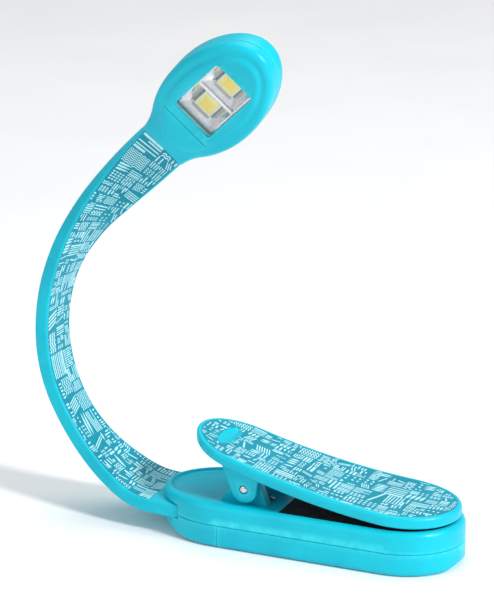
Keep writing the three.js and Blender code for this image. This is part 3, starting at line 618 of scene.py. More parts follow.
def stretch_station(s):
    """The frame of the jointed centre line at distance s, straight on past both of its ends."""
    if s <= 0:
        place, along, normal = FRAMES[0]
        return (place + along * s, along, normal)
    if s >= STRAP_END:
        place, along, normal = FRAMES[-1]
        return (place + along * (s - STRAP_END), along, normal)
    k = max(i for i, start in enumerate(STARTS[:-1]) if start <= s)
    kind, length, degrees = STRETCHES[k]
    return advance(FRAMES[k], kind, length, degrees, (s - STARTS[k]) / length)


def even_station(s):
    """The jointed line's frame averaged over its surroundings, so that the strap bends evenly."""
    reach = min(EVEN_REACH, 0.42 * max(s, 0.0), 0.42 * max(STRAP_END - s, 0.0))
    if reach < 0.05:
        return stretch_station(s)
    place, along, normal = Vector(), Vector(), Vector()
    total = 0.0
    for i in range(-10, 11):
        weight = math.exp(-0.5 * (i / 4) ** 2)
        p, a, n = stretch_station(s + reach * i / 4)
        place, along, normal = place + p * weight, along + a * weight, normal + n * weight
        total += weight
    along.normalize()
    normal -= along * normal.dot(along)
    return (place / total, along, normal.normalized())


EVEN_REACH = 5.2
STATION_PITCH = 0.25
STATION_FIRST = -15.0
STATION_TABLE = [
    even_station(STATION_FIRST + i * STATION_PITCH)
    for i in range(int((STRAP_END + 8 - STATION_FIRST) / STATION_PITCH) + 1)
]


def station(s):
    """The strap's frame at distance s along it."""
    t = (s - STATION_FIRST) / STATION_PITCH
    i = min(max(int(t), 0), len(STATION_TABLE) - 2)
    first, second = STATION_TABLE[i], STATION_TABLE[i + 1]
    place, along, normal = (a.lerp(b, t - i) for a, b in zip(first, second))
    along.normalize()
    normal -= along * normal.dot(along)
    return (place, along, normal.normalized())


def on_strap(u, s, height):
    """A point on or above the strap's printed face: u across, s along."""
    place, along, normal = station(s)
    return place + along.cross(normal) * u + normal * (STRAP_THICK / 2 + height)


def strap_section(half):
    """The section's points and outward directions, from the printed face's +side corner."""
    corner, thick = 0.55, STRAP_THICK / 2
    out = []
    for sx, sz, start in ((1, 1, 0), (-1, 1, 90), (-1, -1, 180), (1, -1, 270)):
        for i in range(6):
            t = math.radians(start + i * 18)
            dx, dz = math.cos(t), math.sin(t)
            out.append((sx * (half - corner) + corner * dx, sz * (thick - corner) + corner * dz, dx, dz))
        if start in (0, 180):
            dz = 1 if start == 0 else -1
            flat = half - corner
            for i in range(1, 12):
                x = flat * (1 - i / 6) * (1 if start == 0 else -1)
                out.append((x, dz * thick, 0, dz))
    return out


FLAT_SIDES = range(5, 17)  # the section's sides that make up the printed face
GROUND_START = -0.6  # where the printed ground starts along the strap


def strap_ring(s, half):
    place, along, normal = station(s)
    across = along.cross(normal)
    ring = [place + across * x + normal * z for x, z, _, _ in strap_section(half)]
    out = [across * dx + normal * dz for _, _, dx, dz in strap_section(half)]
    return ring, out


def make_strap(index):
    """One stretch of the strap; the first carries the root in the base, the last the tip in the head."""
    start, stop = STARTS[index], STARTS[index + 1]
    steps = max(8, round((stop - start) / 0.5))
    path = [(start + (stop - start) * i / steps, None) for i in range(steps + 1)]
    if index == 0:
        tongue = [(-13.4, TONGUE_HALF - 0.2), (-13.25, TONGUE_HALF), (-7.9, TONGUE_HALF), (-7.8, None)]
        path = tongue + [(-7.2 + i * 0.6, None) for i in range(12)] + path
    if index == len(STRETCHES) - 1:
        path += [(stop + i, None) for i in range(1, 7)]
    points, outs = [], []
    for s, half in path:
        ring, out = strap_ring(s, half or strap_width(s) / 2)
        points += ring
        outs += out
    count = len(strap_section(1))
    faces, ground = [], []
    for i, (s, _) in enumerate(path[:-1]):
        faces += walls(i * count, count)
        ground += [int(j in FLAT_SIDES and s >= GROUND_START) for j in range(count)]
    faces += [tuple(range(count))[::-1], tuple(range(len(points) - count, len(points)))]
    ground += [0, 0]
    name = f"neck_skin_{index + 1:02d}"
    mesh = mesh_of(name, points, faces)
    if mesh.polygons[0].normal.dot(outs[0]) < 0:
        mesh.flip_normals()
    made = added(name, mesh)
    layer = mesh.uv_layers.new(name="strap")
    around = perimeter()
    normals = [None] * len(mesh.loops)
    for face, value in zip(mesh.polygons, ground):
        face.use_smooth = True
        face.material_index = value
        cap = len(face.vertices) > 4
        wraps = {v % count for v in face.vertices} == {0, count - 1}
        for loop in face.loop_indices:
            vertex = mesh.loops[loop].vertex_index
            row, column = divmod(vertex, count)
            u = around[-1] if wraps and column == 0 else around[column]
            layer.data[loop].uv = (u * MM, path[row][0] * MM)
            normals[loop] = tuple(face.normal if cap else outs[vertex])
    mesh.normals_split_custom_set(normals)
    return made


def perimeter():
    """How far round the section each of its points lies."""
    section = strap_section(STRAP_WIDTH / 2)
    out = [0.0]
    for a, b in zip(section, section[1:] + section[:1]):
        out.append(out[-1] + math.hypot(a[0] - b[0], a[1] - b[1]))
    return out


# ---- Printed pattern: rectangles filled with bars, waves, chevrons, leaves and dots ----


TILE_GAP = 0.16  # half the bare line between two rectangles


def tiles(draw, u0, u1, v0, v1):
    """Splits a rectangle into smaller ones at random."""
    wide, tall = u1 - u0, v1 - v0
    longest = max(wide, tall)
    if longest > 7.0 or (longest > 3.6 and draw.random() < 0.72):
        share = draw.uniform(0.36, 0.64)
        if wide > tall:
            cut = u0 + wide * share
            return tiles(draw, u0, cut, v0, v1) + tiles(draw, cut, u1, v0, v1)
        cut = v0 + tall * share
        return tiles(draw, u0, u1, v0, cut) + tiles(draw, u0, u1, cut, v1)
    return [(u0, u1, v0, v1)]


def bars(draw, a, b, t):
    x, out = t / 2, []
    while x < a - t / 2:
        high = b if draw.random() < 0.7 else b * draw.uniform(0.45, 0.6)
        low = 0 if draw.random() < 0.6 else b - high
        out.append(([(x, low), (x, low + high)], t * draw.choice((0.8, 1, 1, 1.5))))
        x += t * draw.uniform(1.9, 2.5)
    return out


def slants(draw, a, b, t):
    lean = b * 0.35 * draw.choice((-1, 1))
    out, x = [], t - min(lean, 0)
    while x < a - t - max(lean, 0):
        out.append(([(x, 0), (x + lean, b)], t))
        x += t * 2.1
    return out


def chevrons(draw, a, b, t):
    out, level = [], t / 2
    step = max(t * 2.4, 0.75)
    while level + step * 0.6 < b - t / 2:
        count = max(3, round(a / (step * 1.6)))
        line = []
        for i in range(count * 2 + 1):
            line.append((t + (a - 2 * t) * i / (count * 2), level + (step * 0.6 if i % 2 else 0)))
        out.append((line, t * 0.9))
        level += step * 1.05
    return out


def waves(draw, a, b, t):
    out, level = [], t
    phase = draw.uniform(0, 6)
    while level < b - t / 2:
        line = [
            (t / 2 + (a - t) * i / 24, level + t * 0.55 * math.sin(phase + i * a * 0.42 / 2))
            for i in range(25)
        ]
        out.append((line, t * 0.85))
        level += t * 2.1
    return out


def bricks(draw, a, b, t):
    out, level = [], t / 2
    while level < b:
        x = draw.uniform(0, 0.5)
        while x < a - 0.3:
            stop = min(x + draw.uniform(0.7, 2.2), a)
            out.append(([(x, level), (stop, level)], t))
            x = stop + t * 1.1
        level += t * 1.9
    return out


def leaves(draw, a, b, t):
    out = []
    step = max(t * 2.6, 0.9)
    x = step / 2
    while x < a - step / 3:
        lean = 0.18 * b
        line = [(x - lean / 2 + lean * i / 4, b * i / 4) for i in range(5)]
        out.append((line, [0.05, step * 0.5, step * 0.66, step * 0.5, 0.05]))
        x += step
    return out


def diamonds(draw, a, b, t):
    out = []
    size = max(t * 2.4, 0.8)
    rows, columns = max(1, int(b / size)), max(1, int(a / size))
    for r in range(rows):
        for c in range(columns):
            x, y = (c + 0.5) * a / columns, (r + 0.5) * b / rows
            reach = size * 0.42
            out.append(([(x, y - reach), (x, y), (x, y + reach)], [0.04, size * 0.72, 0.04]))
    return out


PATTERNS = (bars, bars, slants, bricks, chevrons, waves, leaves, diamonds, bars, slants)


def strokes_in(draw, tile):
    """The strokes of one rectangle as (line of (u, v), width or widths)."""
    u0, u1, v0, v1 = tile
    gap = TILE_GAP
    wide, tall = u1 - u0 - 2 * gap, v1 - v0 - 2 * gap
    if min(wide, tall) < 0.5:
        return []
    upright = draw.random() < 0.5
    a, b = (tall, wide) if upright else (wide, tall)
    t = draw.choice((0.26, 0.3, 0.36, 0.44)) * (0.85 + 0.05 * min(b, 6))
    made = draw.choice(PATTERNS)(draw, a, b, t)
    out = []
    for line, width in made:
        if upright:
            line = [(u0 + gap + y, v0 + gap + x) for x, y in line]
        else:
            line = [(u0 + gap + x, v0 + gap + y) for x, y in line]
        out.append((line, width))
    return out


def resampled(line, width, pitch):
    """A line with points at most pitch apart, as (u, v, width)."""
    widths = width if isinstance(width, list) else [width] * len(line)
    out = []
    for (a, wa), (b, wb) in zip(zip(line, widths), zip(line[1:], widths[1:])):
        count = max(1, math.ceil(math.dist(a, b) / pitch))
        for i in range(count):
            t = i / count
            out.append((a[0] + (b[0] - a[0]) * t, a[1] + (b[1] - a[1]) * t, wa + (wb - wa) * t))
    return out + [(*line[-1], widths[-1])]


def print_mesh(name, strokes, surface, inside, pitch=0.7, lift=0.035):
    """Raised ink: every stroke is a thin closed ribbon that follows surface(u, v, height)."""
    points, faces, places = [], [], []
    for line, width in strokes:
        run = []
        for sample in resampled(line, width, pitch) + [None]:
            if sample is not None and inside(sample[0], sample[1]):
                run.append(sample)
                continue
            if len(run) > 1:
                add_ribbon(points, faces, places, run, surface, lift)
            run = []
    mesh = mesh_of(name, points, faces)
    layer = mesh.uv_layers.new(name="print")
    for loop in mesh.loops:
        u, v = places[loop.vertex_index]
        layer.data[loop.index].uv = (u * MM, v * MM)
    with edited(mesh) as work:
        bmesh.ops.recalc_face_normals(work, faces=work.faces)
    return added(name, mesh)


def add_ribbon(points, faces, places, run, surface, lift):
    first = len(points)
    for i, (u, v, width) in enumerate(run):
        before, after = run[max(i - 1, 0)], run[min(i + 1, len(run) - 1)]
        du, dv = after[0] - before[0], after[1] - before[1]
        size = math.hypot(du, dv) or 1.0
        nu, nv = -dv / size * width / 2, du / size * width / 2
        for side, height in ((1, -0.05), (-1, -0.05), (-1, lift), (1, lift)):
            points.append(surface(u + side * nu, v + side * nv, height))
            places.append((u + side * nu, v + side * nv))
    for i in range(len(run) - 1):
        a, b = first + 4 * i, first + 4 * i + 4
        for j in range(4):
            k = (j + 1) % 4
            faces.append((a + j, a + k, b + k, b + j))
    last = len(points) - 4
    faces.append((first + 3, first + 2, first + 1, first))
    faces.append((last, last + 1, last + 2, last + 3))


def on_strap_print(u, s):
    return abs(u) < strap_width(s) / 2 - 0.75 and s < STRAP_END - 2.0


def make_neck_print(index, draw):
    half = strap_width(STARTS[index]) / 2
    strokes = []
    for tile in tiles(draw, -half, half, STARTS[index], STARTS[index + 1]):
        strokes += strokes_in(draw, tile)
    return print_mesh(f"neck_print_{index + 1:02d}", strokes, on_strap, on_strap_print)


def on_lever(u, v, height):
    return (v, u, lever_under(v) + LEVER_THICK - PRINT_DROP + height)


LEVER_INK_INSET = 1.4  # bare ground between the rim and the ink


def make_lever_print(draw):
    strokes = []
    half = LEVER_FRONT_HALF
    for tile in tiles(draw, -half, half, LEVER_REAR, LEVER_FRONT):
        strokes += strokes_in(draw, tile)
    inside = lambda u, v: on_lever_print(v, u, LEVER_INK_INSET)
    return print_mesh("lever_print", strokes, on_lever, inside, 1.0)


# ---- Head, in its own frame: X across, Y on from the strap, Z out of the lit face ----


def head_matrix():
    place, along, normal = FRAMES[-1]
    across = along.cross(normal)
    basis = Matrix((across, along, normal)).transposed().to_4x4()
    return Matrix.Translation(place * MM) @ basis


HEAD_MATRIX = head_matrix()
LINE_DROP, LINE_HALF, LINE_THIN, LINE_FLOOR = 2.2, 6.6, 0.13, 3.62  # the line under the window
ROOT_STEPS, ROUND_STEPS = 12, 150


def by_angle(outline):
    """An outline's points spread evenly by angle round the head's centre, apart for the root's edge."""
    corner = math.atan2(outline[0][1] - HEAD_CENTRE, outline[0][0])
    angles = np.array([math.atan2(y - HEAD_CENTRE, x) for x, y in outline])
    radii = np.array([math.hypot(x, y - HEAD_CENTRE) for x, y in outline])
    angles = np.where(angles < corner - 1e-6, angles + 2 * math.pi, angles)
    order = np.argsort(angles)
    angles, radii = angles[order], radii[order]
    other = math.pi - corner
    wanted = [corner + (other - corner) * i / ROUND_STEPS for i in range(ROUND_STEPS + 1)]
    found = np.interp(wanted, angles, radii)
    return [(r * math.cos(t), HEAD_CENTRE + r * math.sin(t)) for r, t in zip(found, wanted)]


def with_root(points):
    """Adds the straight edge between the last point and the first."""
    (x1, y1), (x0, y0) = points[-1], points[0]
    shares = [i / ROOT_STEPS for i in range(1, ROOT_STEPS)]
    return points + [(x1 + (x0 - x1) * share, y1 + (y0 - y1) * share) for share in shares]


def head_outline(inset):
    half, reach = HEAD_HALF - inset, HEAD_REACH - inset
    join = math.asin((5 - HEAD_CENTRE) / reach)
    join_x, root_x, root_y = half * math.cos(join), 6.2 - inset, -1.5 + inset
    side = quadratic((root_x, root_y), (root_x + 0.3, 2.0), (join_x, 5.0), 40)
    top = arc(0, HEAD_CENTRE, half, reach, math.degrees(join), 180 - math.degrees(join), 400)
    return with_root(by_angle(side + top[1:-1] + [(-x, y) for x, y in reversed(side)]))


def head_oval(inset):
    half, reach = HEAD_HALF - inset, HEAD_REACH - inset
    outline = arc(0, HEAD_CENTRE, half, reach, -77, 257, 400)
    return with_oval_root(by_angle(outline), half, reach)


def with_oval_root(points, half, reach):
    start = math.atan2((points[-1][1] - HEAD_CENTRE) / reach, points[-1][0] / half)
    stop = math.atan2((points[0][1] - HEAD_CENTRE) / reach, points[0][0] / half)
    if start > stop:
        start -= 2 * math.pi
    edge = []
    for i in range(1, ROOT_STEPS):
        t = start + (stop - start) * i / ROOT_STEPS
        edge.append((half * math.cos(t), HEAD_CENTRE + reach * math.sin(t)))
    return points + edge


def oval_prism(inset, low, high, from_y):
    outline = [(x, max(y, from_y)) for x, y in head_oval(inset)]
    return prism(list(dict.fromkeys(outline)), low, high)


def strap_slot(target):
    thick = STRAP_THICK / 2 + 0.08
    target = joined(target, block((-6.6, -6, -thick), (6.6, 1.6, thick)))
    return joined(target, block((-6.12, -6, -thick), (6.12, 6.3, thick)))


def make_head_front():
    rings = [at_height(head_oval(8), 0.06), at_height(head_outline(0.12), 0.06)]
    rings += [at_height(head_outline(0), z) for z in (0.18, 0.7, 1.3)]
    for run, rise in rounding(9):
        rings.append(at_height(head_outline(1.7 * run), HEAD_FRONT - 1.7 * (1 - rise)))
    shoulder = [(2.3, 3.12), (2.55, 3.2), (2.8, 3.36), (3.05, 3.55), (3.35, 3.7), (3.75, 3.78)]
    shoulder += [(d, HEAD_PLATEAU) for d in (4.3, 6, 8)]
    rings += [at_height(head_oval(d), z) for d, z in shoulder]
    shell = lofted("head_shell_front", rings)
    shell = joined(shell, oval_prism(1.5, -1, 2.4, HEAD_CAVITY_Y))
    shell = strap_slot(shell)
    shell = joined(shell, post(0, HEAD_SCREW_Y, 1.7, 0.06, 2.6), "UNION")
    shell = joined(shell, post(0, HEAD_SCREW_Y, 0.9, -1, 1.6))
    opening = rounded_rectangle(WINDOW_W, WINDOW_L, 0.9, 0, WINDOW_Y, 8)
    shell = joined(shell, prism(opening, -1, 6))
    line_y = WINDOW_Y - WINDOW_L / 2 - LINE_DROP
    line = block((-LINE_HALF, line_y - LINE_THIN, LINE_FLOOR), (LINE_HALF, line_y + LINE_THIN, 5))
    shell = joined(shell, line)
    return placed(softened(shell), HEAD_MATRIX)


def make_head_back():
    rings = [at_height(head_oval(8), -0.06), at_height(head_outline(0.12), -0.06)]
    rings += [at_height(head_outline(0), z) for z in (-0.18, -0.9, -1.9)]
    for run, rise in rounding(9):
        rings.append(at_height(head_outline(2.3 * run), HEAD_BACK + 2.5 * (1 - rise)))
    rings += [at_height(head_oval(d), HEAD_BACK) for d in (4.5, 6.5, 8)]
    shell = lofted("head_shell_back", rings)
    shell = joined(shell, oval_prism(1.7, -3.6, 1, HEAD_CAVITY_Y))
    shell = strap_slot(shell)
    shell = joined(shell, post(0, HEAD_SCREW_Y, 2.2, -4.4, -0.08), "UNION")
    shell = joined(shell, post(0, HEAD_SCREW_Y, 0.95, -9, 3))
    shell = joined(shell, post(0, HEAD_SCREW_Y, 1.8, -9, -3.42))
    shell = joined(shell, post(0, BUTTON_Y, 3.45, -9, -1, 64))
    return placed(softened(shell), HEAD_MATRIX)


def make_window():
    """The clear cover: a pane in the opening and a thin flange behind it."""
    rings = []
    for grow, z in ((0.9, 2.06), (0.9, 2.28), (-0.12, 2.3), (-0.12, 3.3), (-0.22, 3.4), (-3, 3.42)):
        corner = 0.8 if grow > -2 else 0.3
        outline = rounded_rectangle(WINDOW_W + 2 * grow, WINDOW_L + 2 * grow, corner, 0, WINDOW_Y)
        rings.append(at_height(outline, z))
    return placed(softened(lofted("window_clear", rings), 30), HEAD_MATRIX)


def make_led(name, y):
    """A white package with a square phosphor pad that is crowned in its middle."""
    levels = (
        (4.6, -0.55, 0), (5.0, -0.5, 0), (5.0, 0.4, 0), (4.9, 0.48, 0), (4.5, 0.5, 0), (4.3, 0.36, 0),
        (4.05, 0.38, 1), (3.6, 0.52, 1), (3.0, 0.62, 1), (2.2, 0.68, 1), (1.2, 0.7, 1),
    )
    rings = []
    for w, z, m in levels:
        rings.append(at_height(rounded_rectangle(w, w, 0.12 + 0.1 * w * (m + 0.2), 0, y), z))
    made = lofted(name, rings)
    core = made.data.attributes.new("core", "FLOAT", "POINT")
    for vertex, value in zip(made.data.vertices, core.data):
        x, up = vertex.co.x / MM, vertex.co.y / MM - y
        value.value = max(0.0, 1 - max(abs(x), abs(up)) / 2.05)
    for face in made.data.polygons:
        centre = face.center / MM
        inside = max(abs(centre.x), abs(centre.y - y)) < PHOSPHOR / 2
        face.material_index = 1 if inside and centre.z > 0.3 else 0
    return placed(softened(made, 40), HEAD_MATRIX)


def make_button():
    profile = [(0, -5.5), (1.4, -5.47), (2.4, -5.4), (2.85, -5.28), (3.1, -5.08), (3.2, -4.8)]
    profile += [(3.2, -3.52), (4.0, -3.5), (4.0, -3.12), (0, -3.1)]
    made = turned("button_cap", profile, 64)
    return placed(softened(placed(made, shift(0, BUTTON_Y, 0)), 40), HEAD_MATRIX)


def make_head_screw():
    profile = [(0, -4.5), (1.15, -4.5), (1.45, -4.4), (1.58, -4.2)]
    profile += [(1.58, -3.52), (0.68, -3.5), (0.68, 0.9), (0, 1.35)]
    made = turned("screw_head_back", profile)
    for turned_by in (35, 125):
        slot = block((-0.95, -0.17, -5), (0.95, 0.17, -4.05))
        made = joined(made, placed(slot, Matrix.Rotation(math.radians(turned_by), 4, "Z")))
    return placed(softened(placed(made, shift(0, HEAD_SCREW_Y, 0)), 40), HEAD_MATRIX)


# ---- Materials ----


def linear(colour):
    """An sRGB colour of 0 to 255 as the linear RGBA that a shader takes."""
    out = []
    for c in colour:
        c /= 255
        out.append(c / 12.92 if c <= 0.04045 else ((c + 0.055) / 1.055) ** 2.4)
    return (*out, 1.0)


class Finish:
    """A procedural material: a Principled shader and the textures that vary it."""

    def __init__(self, name, coordinates="Object"):
        self.material = bpy.data.materials.new(name)
        self.material.use_nodes = True
        self.tree = self.material.node_tree
        self.tree.nodes.clear()
        output = self.node("ShaderNodeOutputMaterial")
        self.shader = self.node("ShaderNodeBsdfPrincipled")
        self.link(self.shader.outputs[0], output.inputs[0])
        self.place = self.node("ShaderNodeTexCoord").outputs[coordinates]

    def node(self, kind, **settings):
        made = self.tree.nodes.new(kind)
        for key, value in settings.items():
            setattr(made, key, value)
        return made

    def link(self, a, b):
        self.tree.links.new(a, b)

    def noise(self, size, detail=2.0, stretch=(1, 1, 1)):
        """Noise whose features are about size millimetres across."""
        texture = self.node("ShaderNodeTexNoise")
        texture.inputs["Scale"].default_value = 1 / (size * MM)
        texture.inputs["Detail"].default_value = detail
        mapping = self.node("ShaderNodeMapping")
        mapping.inputs["Scale"].default_value = stretch
        self.link(self.place, mapping.inputs[0])
        self.link(mapping.outputs[0], texture.inputs[0])
        return texture.outputs[0]

    def spread(self, value, low, high, source=(0.3, 0.7)):
        node = self.node("ShaderNodeMapRange")
        node.inputs[1].default_value, node.inputs[2].default_value = source
        node.inputs[3].default_value, node.inputs[4].default_value = low, high
        self.link(value, node.inputs[0])
        return node.outputs[0]

    def mix(self, factor, a, b):
        node = self.node("ShaderNodeMix", data_type="RGBA")
        for socket, value in ((node.inputs[0], factor), (node.inputs[6], a), (node.inputs[7], b)):
            if isinstance(value, (tuple, float)):
                socket.default_value = value
            else:
                self.link(value, socket)
        return node.outputs[2]

    def bump(self, height, distance, strength, before=None):
        node = self.node("ShaderNodeBump")
        node.inputs["Strength"].default_value = strength
        node.inputs["Distance"].default_value = distance * MM
        self.link(height, node.inputs["Height"])
        if before is not None:
            self.link(before, node.inputs["Normal"])
        return node.outputs[0]

    def edges(self, low, high):
        """0 on flat and hollow places, rising to 1 on convex edges, where the painted highlight goes."""
        pointed = self.node("ShaderNodeNewGeometry").outputs["Pointiness"]
        return self.spread(pointed, 0.0, 1.0, (low, high))

    def set(self, **values):
        for key, value in values.items():
            self.shader.inputs[key.replace("_", " ")].default_value = value
        return self

    def paint(self, colour):
        self.link(colour, self.shader.inputs["Base Color"])

    def rough(self, value):
        self.link(value, self.shader.inputs["Roughness"])

    def shape(self, normal):
        self.link(normal, self.shader.inputs["Normal"])


def scaled(colour, factor):
    return tuple(min(255, c * factor) for c in colour)


BODY = (0, 197, 217)
BODY_DEEP = (0, 180, 203)
# the turquoise's edge colour: a painted highlight on convex edges
BODY_EDGE_HIGHLIGHT = (66, 228, 240)
INK_GROUND = (0, 150, 174)
INK = (184, 242, 250)


def moulded(name, colour, deep, edge, roughness, grain=0.22, depth=0.012):
    """Moulded plastic: faint flow mottling, fine spark-eroded grain, and a painted highlight on convex
    edges, patchy like rubbed wear.
    """
    f = Finish(name)
    flow = f.spread(f.noise(14, 3), 0.0, 1.0)
    base = f.mix(flow, linear(deep), linear(colour))
    # painted highlight: convex edges lightened towards the edge colour, in noisy patches
    edge_highlight = f.node("ShaderNodeMath", operation="MULTIPLY")
    f.link(f.edges(0.515, 0.60), edge_highlight.inputs[0])
    f.link(f.spread(f.noise(1.6, 3), 0.25, 0.75), edge_highlight.inputs[1])
    f.paint(f.mix(edge_highlight.outputs[0], base, linear(edge)))
    f.rough(f.spread(f.noise(3.0, 4), roughness - 0.06, roughness + 0.07))
    fine = f.bump(f.noise(grain, 2), depth, 0.35)
    f.shape(f.bump(f.noise(5.0, 1), 0.05, 0.12, fine))
    return f.set(Specular_IOR_Level=0.28).material


def silicone(name, colour, deep, roughness):
    """Silicone skin: soft grain, handling smudges and a faintly uneven surface."""
    f = Finish(name, "UV")
    flow = f.spread(f.noise(11, 3), 0.0, 1.0)
    smudge = f.spread(f.noise(2.4, 4), 0.0, 0.3)
    f.paint(f.mix(smudge, f.mix(flow, linear(deep), linear(colour)), linear(scaled(deep, 0.93))))
    f.rough(f.spread(f.noise(3.5, 4), roughness - 0.07, roughness + 0.08))
    fine = f.bump(f.noise(0.28, 2), 0.02, 0.4)
    f.shape(f.bump(f.noise(4.0, 2), 0.06, 0.15, fine))
    return f.set(Specular_IOR_Level=0.28).material


def metal(name, colour, roughness, streak=(1, 1, 1), size=0.3, depth=0.006):
    f = Finish(name)
    tone = f.spread(f.noise(4, 3), 0.0, 1.0)
    f.paint(f.mix(tone, linear(scaled(colour, 0.9)), linear(colour)))
    f.rough(f.spread(f.noise(size, 3, streak), roughness - 0.07, roughness + 0.09))
    f.shape(f.bump(f.noise(size, 2, streak), depth, 0.4))
    return f.set(Metallic=1.0).material


def rubber_foam(name):
    """Closed-cell foam rubber: pebbled skin with small pores."""
    f = Finish(name)
    cells = f.node("ShaderNodeTexVoronoi")
    cells.inputs["Scale"].default_value = 1 / (0.35 * MM)
    f.link(f.place, cells.inputs["Vector"])
    tone = f.spread(f.noise(2.5, 4), 0.0, 1.0)
    f.paint(f.mix(tone, linear((20, 20, 22)), linear((38, 38, 41))))
    f.rough(f.spread(f.noise(0.9, 3), 0.72, 0.92))
    coarse = f.bump(cells.outputs["Distance"], 0.05, 0.5)
    f.shape(f.bump(f.noise(0.15, 2), 0.015, 0.4, coarse))
    return f.set(Specular_IOR_Level=0.35).material


def ink(name):
    """Printed ink: a thin satin film, a little uneven in its cover."""
    f = Finish(name, "UV")
    cover = f.spread(f.noise(0.8, 4), 0.0, 1.0)
    f.paint(f.mix(cover, linear(scaled(INK, 0.9)), linear(INK)))
    f.rough(f.spread(f.noise(0.5, 3), 0.42, 0.6))
    f.shape(f.bump(f.noise(0.2, 2), 0.006, 0.3))
    return f.material


def clear_plastic(name):
    f = Finish(name)
    tint = f.spread(f.noise(6, 2), 0.0, 1.0)
    f.paint(f.mix(tint, linear((236, 244, 246)), linear((250, 252, 252))))
    f.rough(f.spread(f.noise(1.5, 4), 0.03, 0.1))
    f.shape(f.bump(f.noise(4, 2), 0.02, 0.1))
    f.set(Alpha=0.1, IOR=1.49)
    return f.material


def phosphor(name):
    """Yellow LED phosphor, deepest in the middle of its pad."""
    f = Finish(name)
    core = f.node("ShaderNodeAttribute", attribute_name="core").outputs["Fac"]
    grains = f.noise(0.18, 4)
    ring = f.spread(core, 0.0, 1.0, (0.12, 0.5))
    base = f.mix(ring, linear((255, 250, 150)), linear((255, 226, 24)))
    f.paint(f.mix(f.spread(grains, 0.0, 0.35), base, linear((240, 204, 20))))
    f.rough(f.spread(grains, 0.35, 0.6))
    f.shape(f.bump(grains, 0.02, 0.5))
    return f.material


def circuit_board(name):
    f = Finish(name)
    tracks = f.node("ShaderNodeTexBrick")
    tracks.inputs["Scale"].default_value = 1 / (3 * MM)
    f.link(f.place, tracks.inputs["Vector"])
    track = f.spread(tracks.outputs["Fac"], 0.0, 1.0, (0, 1))
    tone = f.mix(track, linear((22, 96, 60)), linear((38, 132, 84)))
    f.paint(f.mix(f.spread(f.noise(1.2, 3), 0.0, 0.4), tone, linear((16, 74, 46))))
    f.rough(f.spread(f.noise(0.6, 3), 0.3, 0.5))
    f.shape(f.bump(tracks.outputs["Fac"], 0.03, 0.5))
    return f.material


def paper_floor(name):
    f = Finish(name)
    tone = f.spread(f.noise(60, 3), 0.0, 1.0)
    f.paint(f.mix(tone, linear((246, 247, 248)), linear((251, 251, 251))))
    f.rough(f.spread(f.noise(8, 4), 0.75, 0.9))
    f.shape(f.bump(f.noise(1.5, 4), 0.05, 0.15))
    return f.set(Specular_IOR_Level=0.2).material


# the lighter edge colours of the moulded finishes are painted highlights on convex edges
shell_plastic = moulded("shell_plastic", BODY, BODY_DEEP, BODY_EDGE_HIGHLIGHT, 0.36)
strap_silicone = silicone("strap_silicone", BODY, BODY_DEEP, 0.46)
strap_ground = silicone("strap_ground", INK_GROUND, scaled(INK_GROUND, 0.9), 0.5)
lever_ground = moulded("lever_ground", INK_GROUND, scaled(INK_GROUND, 0.9), BODY_EDGE_HIGHLIGHT, 0.44)
ink_film = ink("ink_film")
foam = rubber_foam("foam")
pin_steel = metal("pin_steel_finish", (222, 224, 228), 0.24)
wire_steel = metal("wire_steel", (178, 180, 184), 0.34, (1, 1, 6))
cell_steel = metal("cell_steel_finish", (212, 214, 216), 0.3, (1, 12, 1))
brass = metal("brass_finish", (206, 170, 92), 0.32, (1, 8, 1))
chrome = metal("chrome_finish", (238, 238, 242), 0.12, (1, 1, 1), 1.5, 0.004)
white_ceramic = moulded("white_ceramic_finish", (236, 236, 232), (224, 224, 220), (250, 250, 250), 0.4)
black_plastic = moulded("black_plastic_finish", (30, 30, 32), (22, 22, 24), (70, 70, 74), 0.5)
phosphor_yellow = phosphor("phosphor_yellow")
board_green = circuit_board("board_green")
window_clear = clear_plastic("window_clear_finish")
floor_paper = paper_floor("floor_paper")


# ---- Assembly ----


def dressed(made, *materials):
    """Gives a piece its materials, in order."""
    kept = [p.material_index for p in made.data.polygons]
    made.data.materials.clear()
    for material in materials:
        made.data.materials.append(material)
    for face, index in zip(made.data.polygons, kept):
        face.material_index = min(index, len(materials) - 1)
    return made


def fitted(made, body, material_slot, nodes, *materials):
    """A finished piece: its materials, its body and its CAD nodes."""
    dressed(made, *materials)
    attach(made, body)
    if nodes:
        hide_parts(*nodes)
    return made


def mark_lever_print(made):
    top = LEVER_THICK - PRINT_DROP
    for face in made.data.polygons:
        x, y, z = face.center / MM
        flat = abs(z - lever_under(x) - top) < 0.04 and face.normal.z > 0.5
        face.material_index = 1 if flat and on_lever_print(x, y, 1.1) else 0
    return made


def build_base():
    fitted(make_upper_shell(), "base", "turquoise_plastic", ["upper_shell"], shell_plastic)
    fitted(make_rear_lower_shell(), "base", "turquoise_plastic", ["rear_lower_shell"], shell_plastic)
    fitted(make_battery_cover(), "cover", "turquoise_plastic", ["battery_cover"], shell_plastic)
    pad = fitted(make_pad(), "base", "pad_rubber", ["clip_pad"], foam)
    fitted(make_hinge_pin(), "base", "steel", ["hinge_pin"], pin_steel)


def build_clip(draw):
    lever = mark_lever_print(make_lever())
    fitted(lever, "lever", "turquoise_plastic", ["lever"], shell_plastic, lever_ground)
    fitted(make_lever_print(draw), "lever", None, [], ink_film)
    spring = dressed(make_spring(), wire_steel)
    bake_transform(spring)
    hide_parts("torsion_spring")


def build_neck(draw):
    nodes = ["neck_root"] + [f"neck_strap_{i:02d}" for i in range(1, len(STRETCHES))]
    for i in range(len(STRETCHES)):
        skin = dressed(make_strap(i), strap_silicone, strap_ground)
        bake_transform(skin)
        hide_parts(nodes[i], *(["neck_tip"] if i + 1 == len(STRETCHES) else []))
        mark = dressed(make_neck_print(i, draw), ink_film)
        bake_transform(mark)


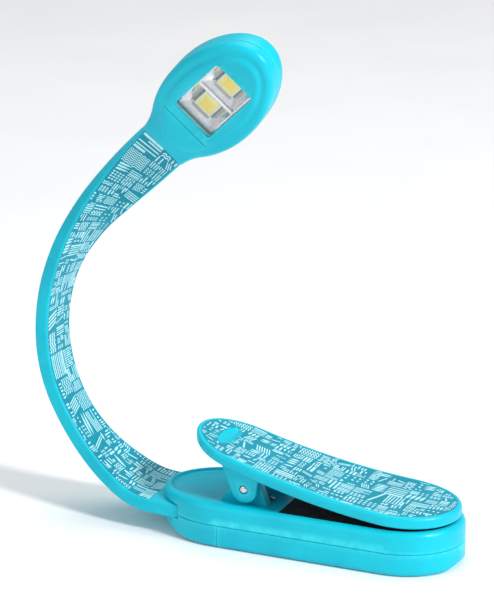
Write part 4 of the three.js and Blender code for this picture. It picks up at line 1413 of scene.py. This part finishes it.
def build_head():
    fitted(make_head_front(), "head", "turquoise_plastic", ["head_front"], shell_plastic)
    fitted(make_head_back(), "head", "turquoise_plastic", ["head_back"], shell_plastic)
    fitted(make_window(), "head", "clear_window", ["window"], window_clear)
    for name, node, side in (("led_chip_lower", "led_lower", -1), ("led_chip_upper", "led_upper", 1)):
        chip = make_led(name, WINDOW_Y + side * LED_PITCH / 2)
        fitted(chip, "head", "led_phosphor", [node], white_ceramic, phosphor_yellow)
    fitted(make_button(), "button", "turquoise_plastic", ["switch_button"], shell_plastic)
    fitted(make_head_screw(), "head", "steel", ["head_screw"], pin_steel)


def finish_cad_nodes():
    """Materials of the CAD nodes that stay: the inner pieces."""
    by_slot = {
        "black_plastic": black_plastic, "cell_steel": cell_steel, "contact_brass": brass,
        "steel": pin_steel, "core_steel": wire_steel, "chrome_reflector": chrome,
        "green_board": board_green, "white_ceramic": white_ceramic,
    }
    for row in frame["record"]["subparts"]:
        made = frame["nodes"][row["node"]]
        if row["material_slot"] in by_slot:
            made.data.materials.clear()
            made.data.materials.append(by_slot[row["material_slot"]])


def build_stage():
    rings = [at_height(arc(0, 0, r, r, 0, 360, 96)[:-1], z) for r, z in (
        (3000, -4.0), (3000, -0.04), (900, -0.04), (300, -0.04), (60, -0.04),
    )]
    floor = lofted("floor", rings)
    floor.data.materials.append(floor_paper)


def add_light(name, place, aim, size, power, colour=(1, 1, 1)):
    data = bpy.data.lights.new(name, "AREA")
    data.shape, data.size, data.energy, data.color = "DISK", size, power, colour
    light = added(name, data)
    light.location = place
    light.rotation_euler = (Vector(aim) - Vector(place)).to_track_quat("-Z", "Y").to_euler()


def build_lights():
    centre = (-0.02, 0, 0.04)
    add_light("key", (0.82, -0.26, 0.66), centre, 0.2, 9.5)
    add_light("fill", (-0.55, -0.9, 0.55), centre, 0.9, 2.3)
    add_light("top", (-0.1, 0.3, 1.0), centre, 0.8, 3.3)
    world = bpy.data.worlds.new("studio")
    world.use_nodes = True
    background = world.node_tree.nodes["Background"]
    background.inputs["Color"].default_value = (0.97, 0.98, 1.0, 1)
    background.inputs["Strength"].default_value = 0.46
    bpy.context.scene.world = world
    bpy.context.scene.view_settings.view_transform = "Standard"


draw = random.Random(20)
build_base()
build_clip(draw)
build_neck(draw)
build_head()
finish_cad_nodes()
build_stage()
build_lights()

bpy.context.view_layer.update()
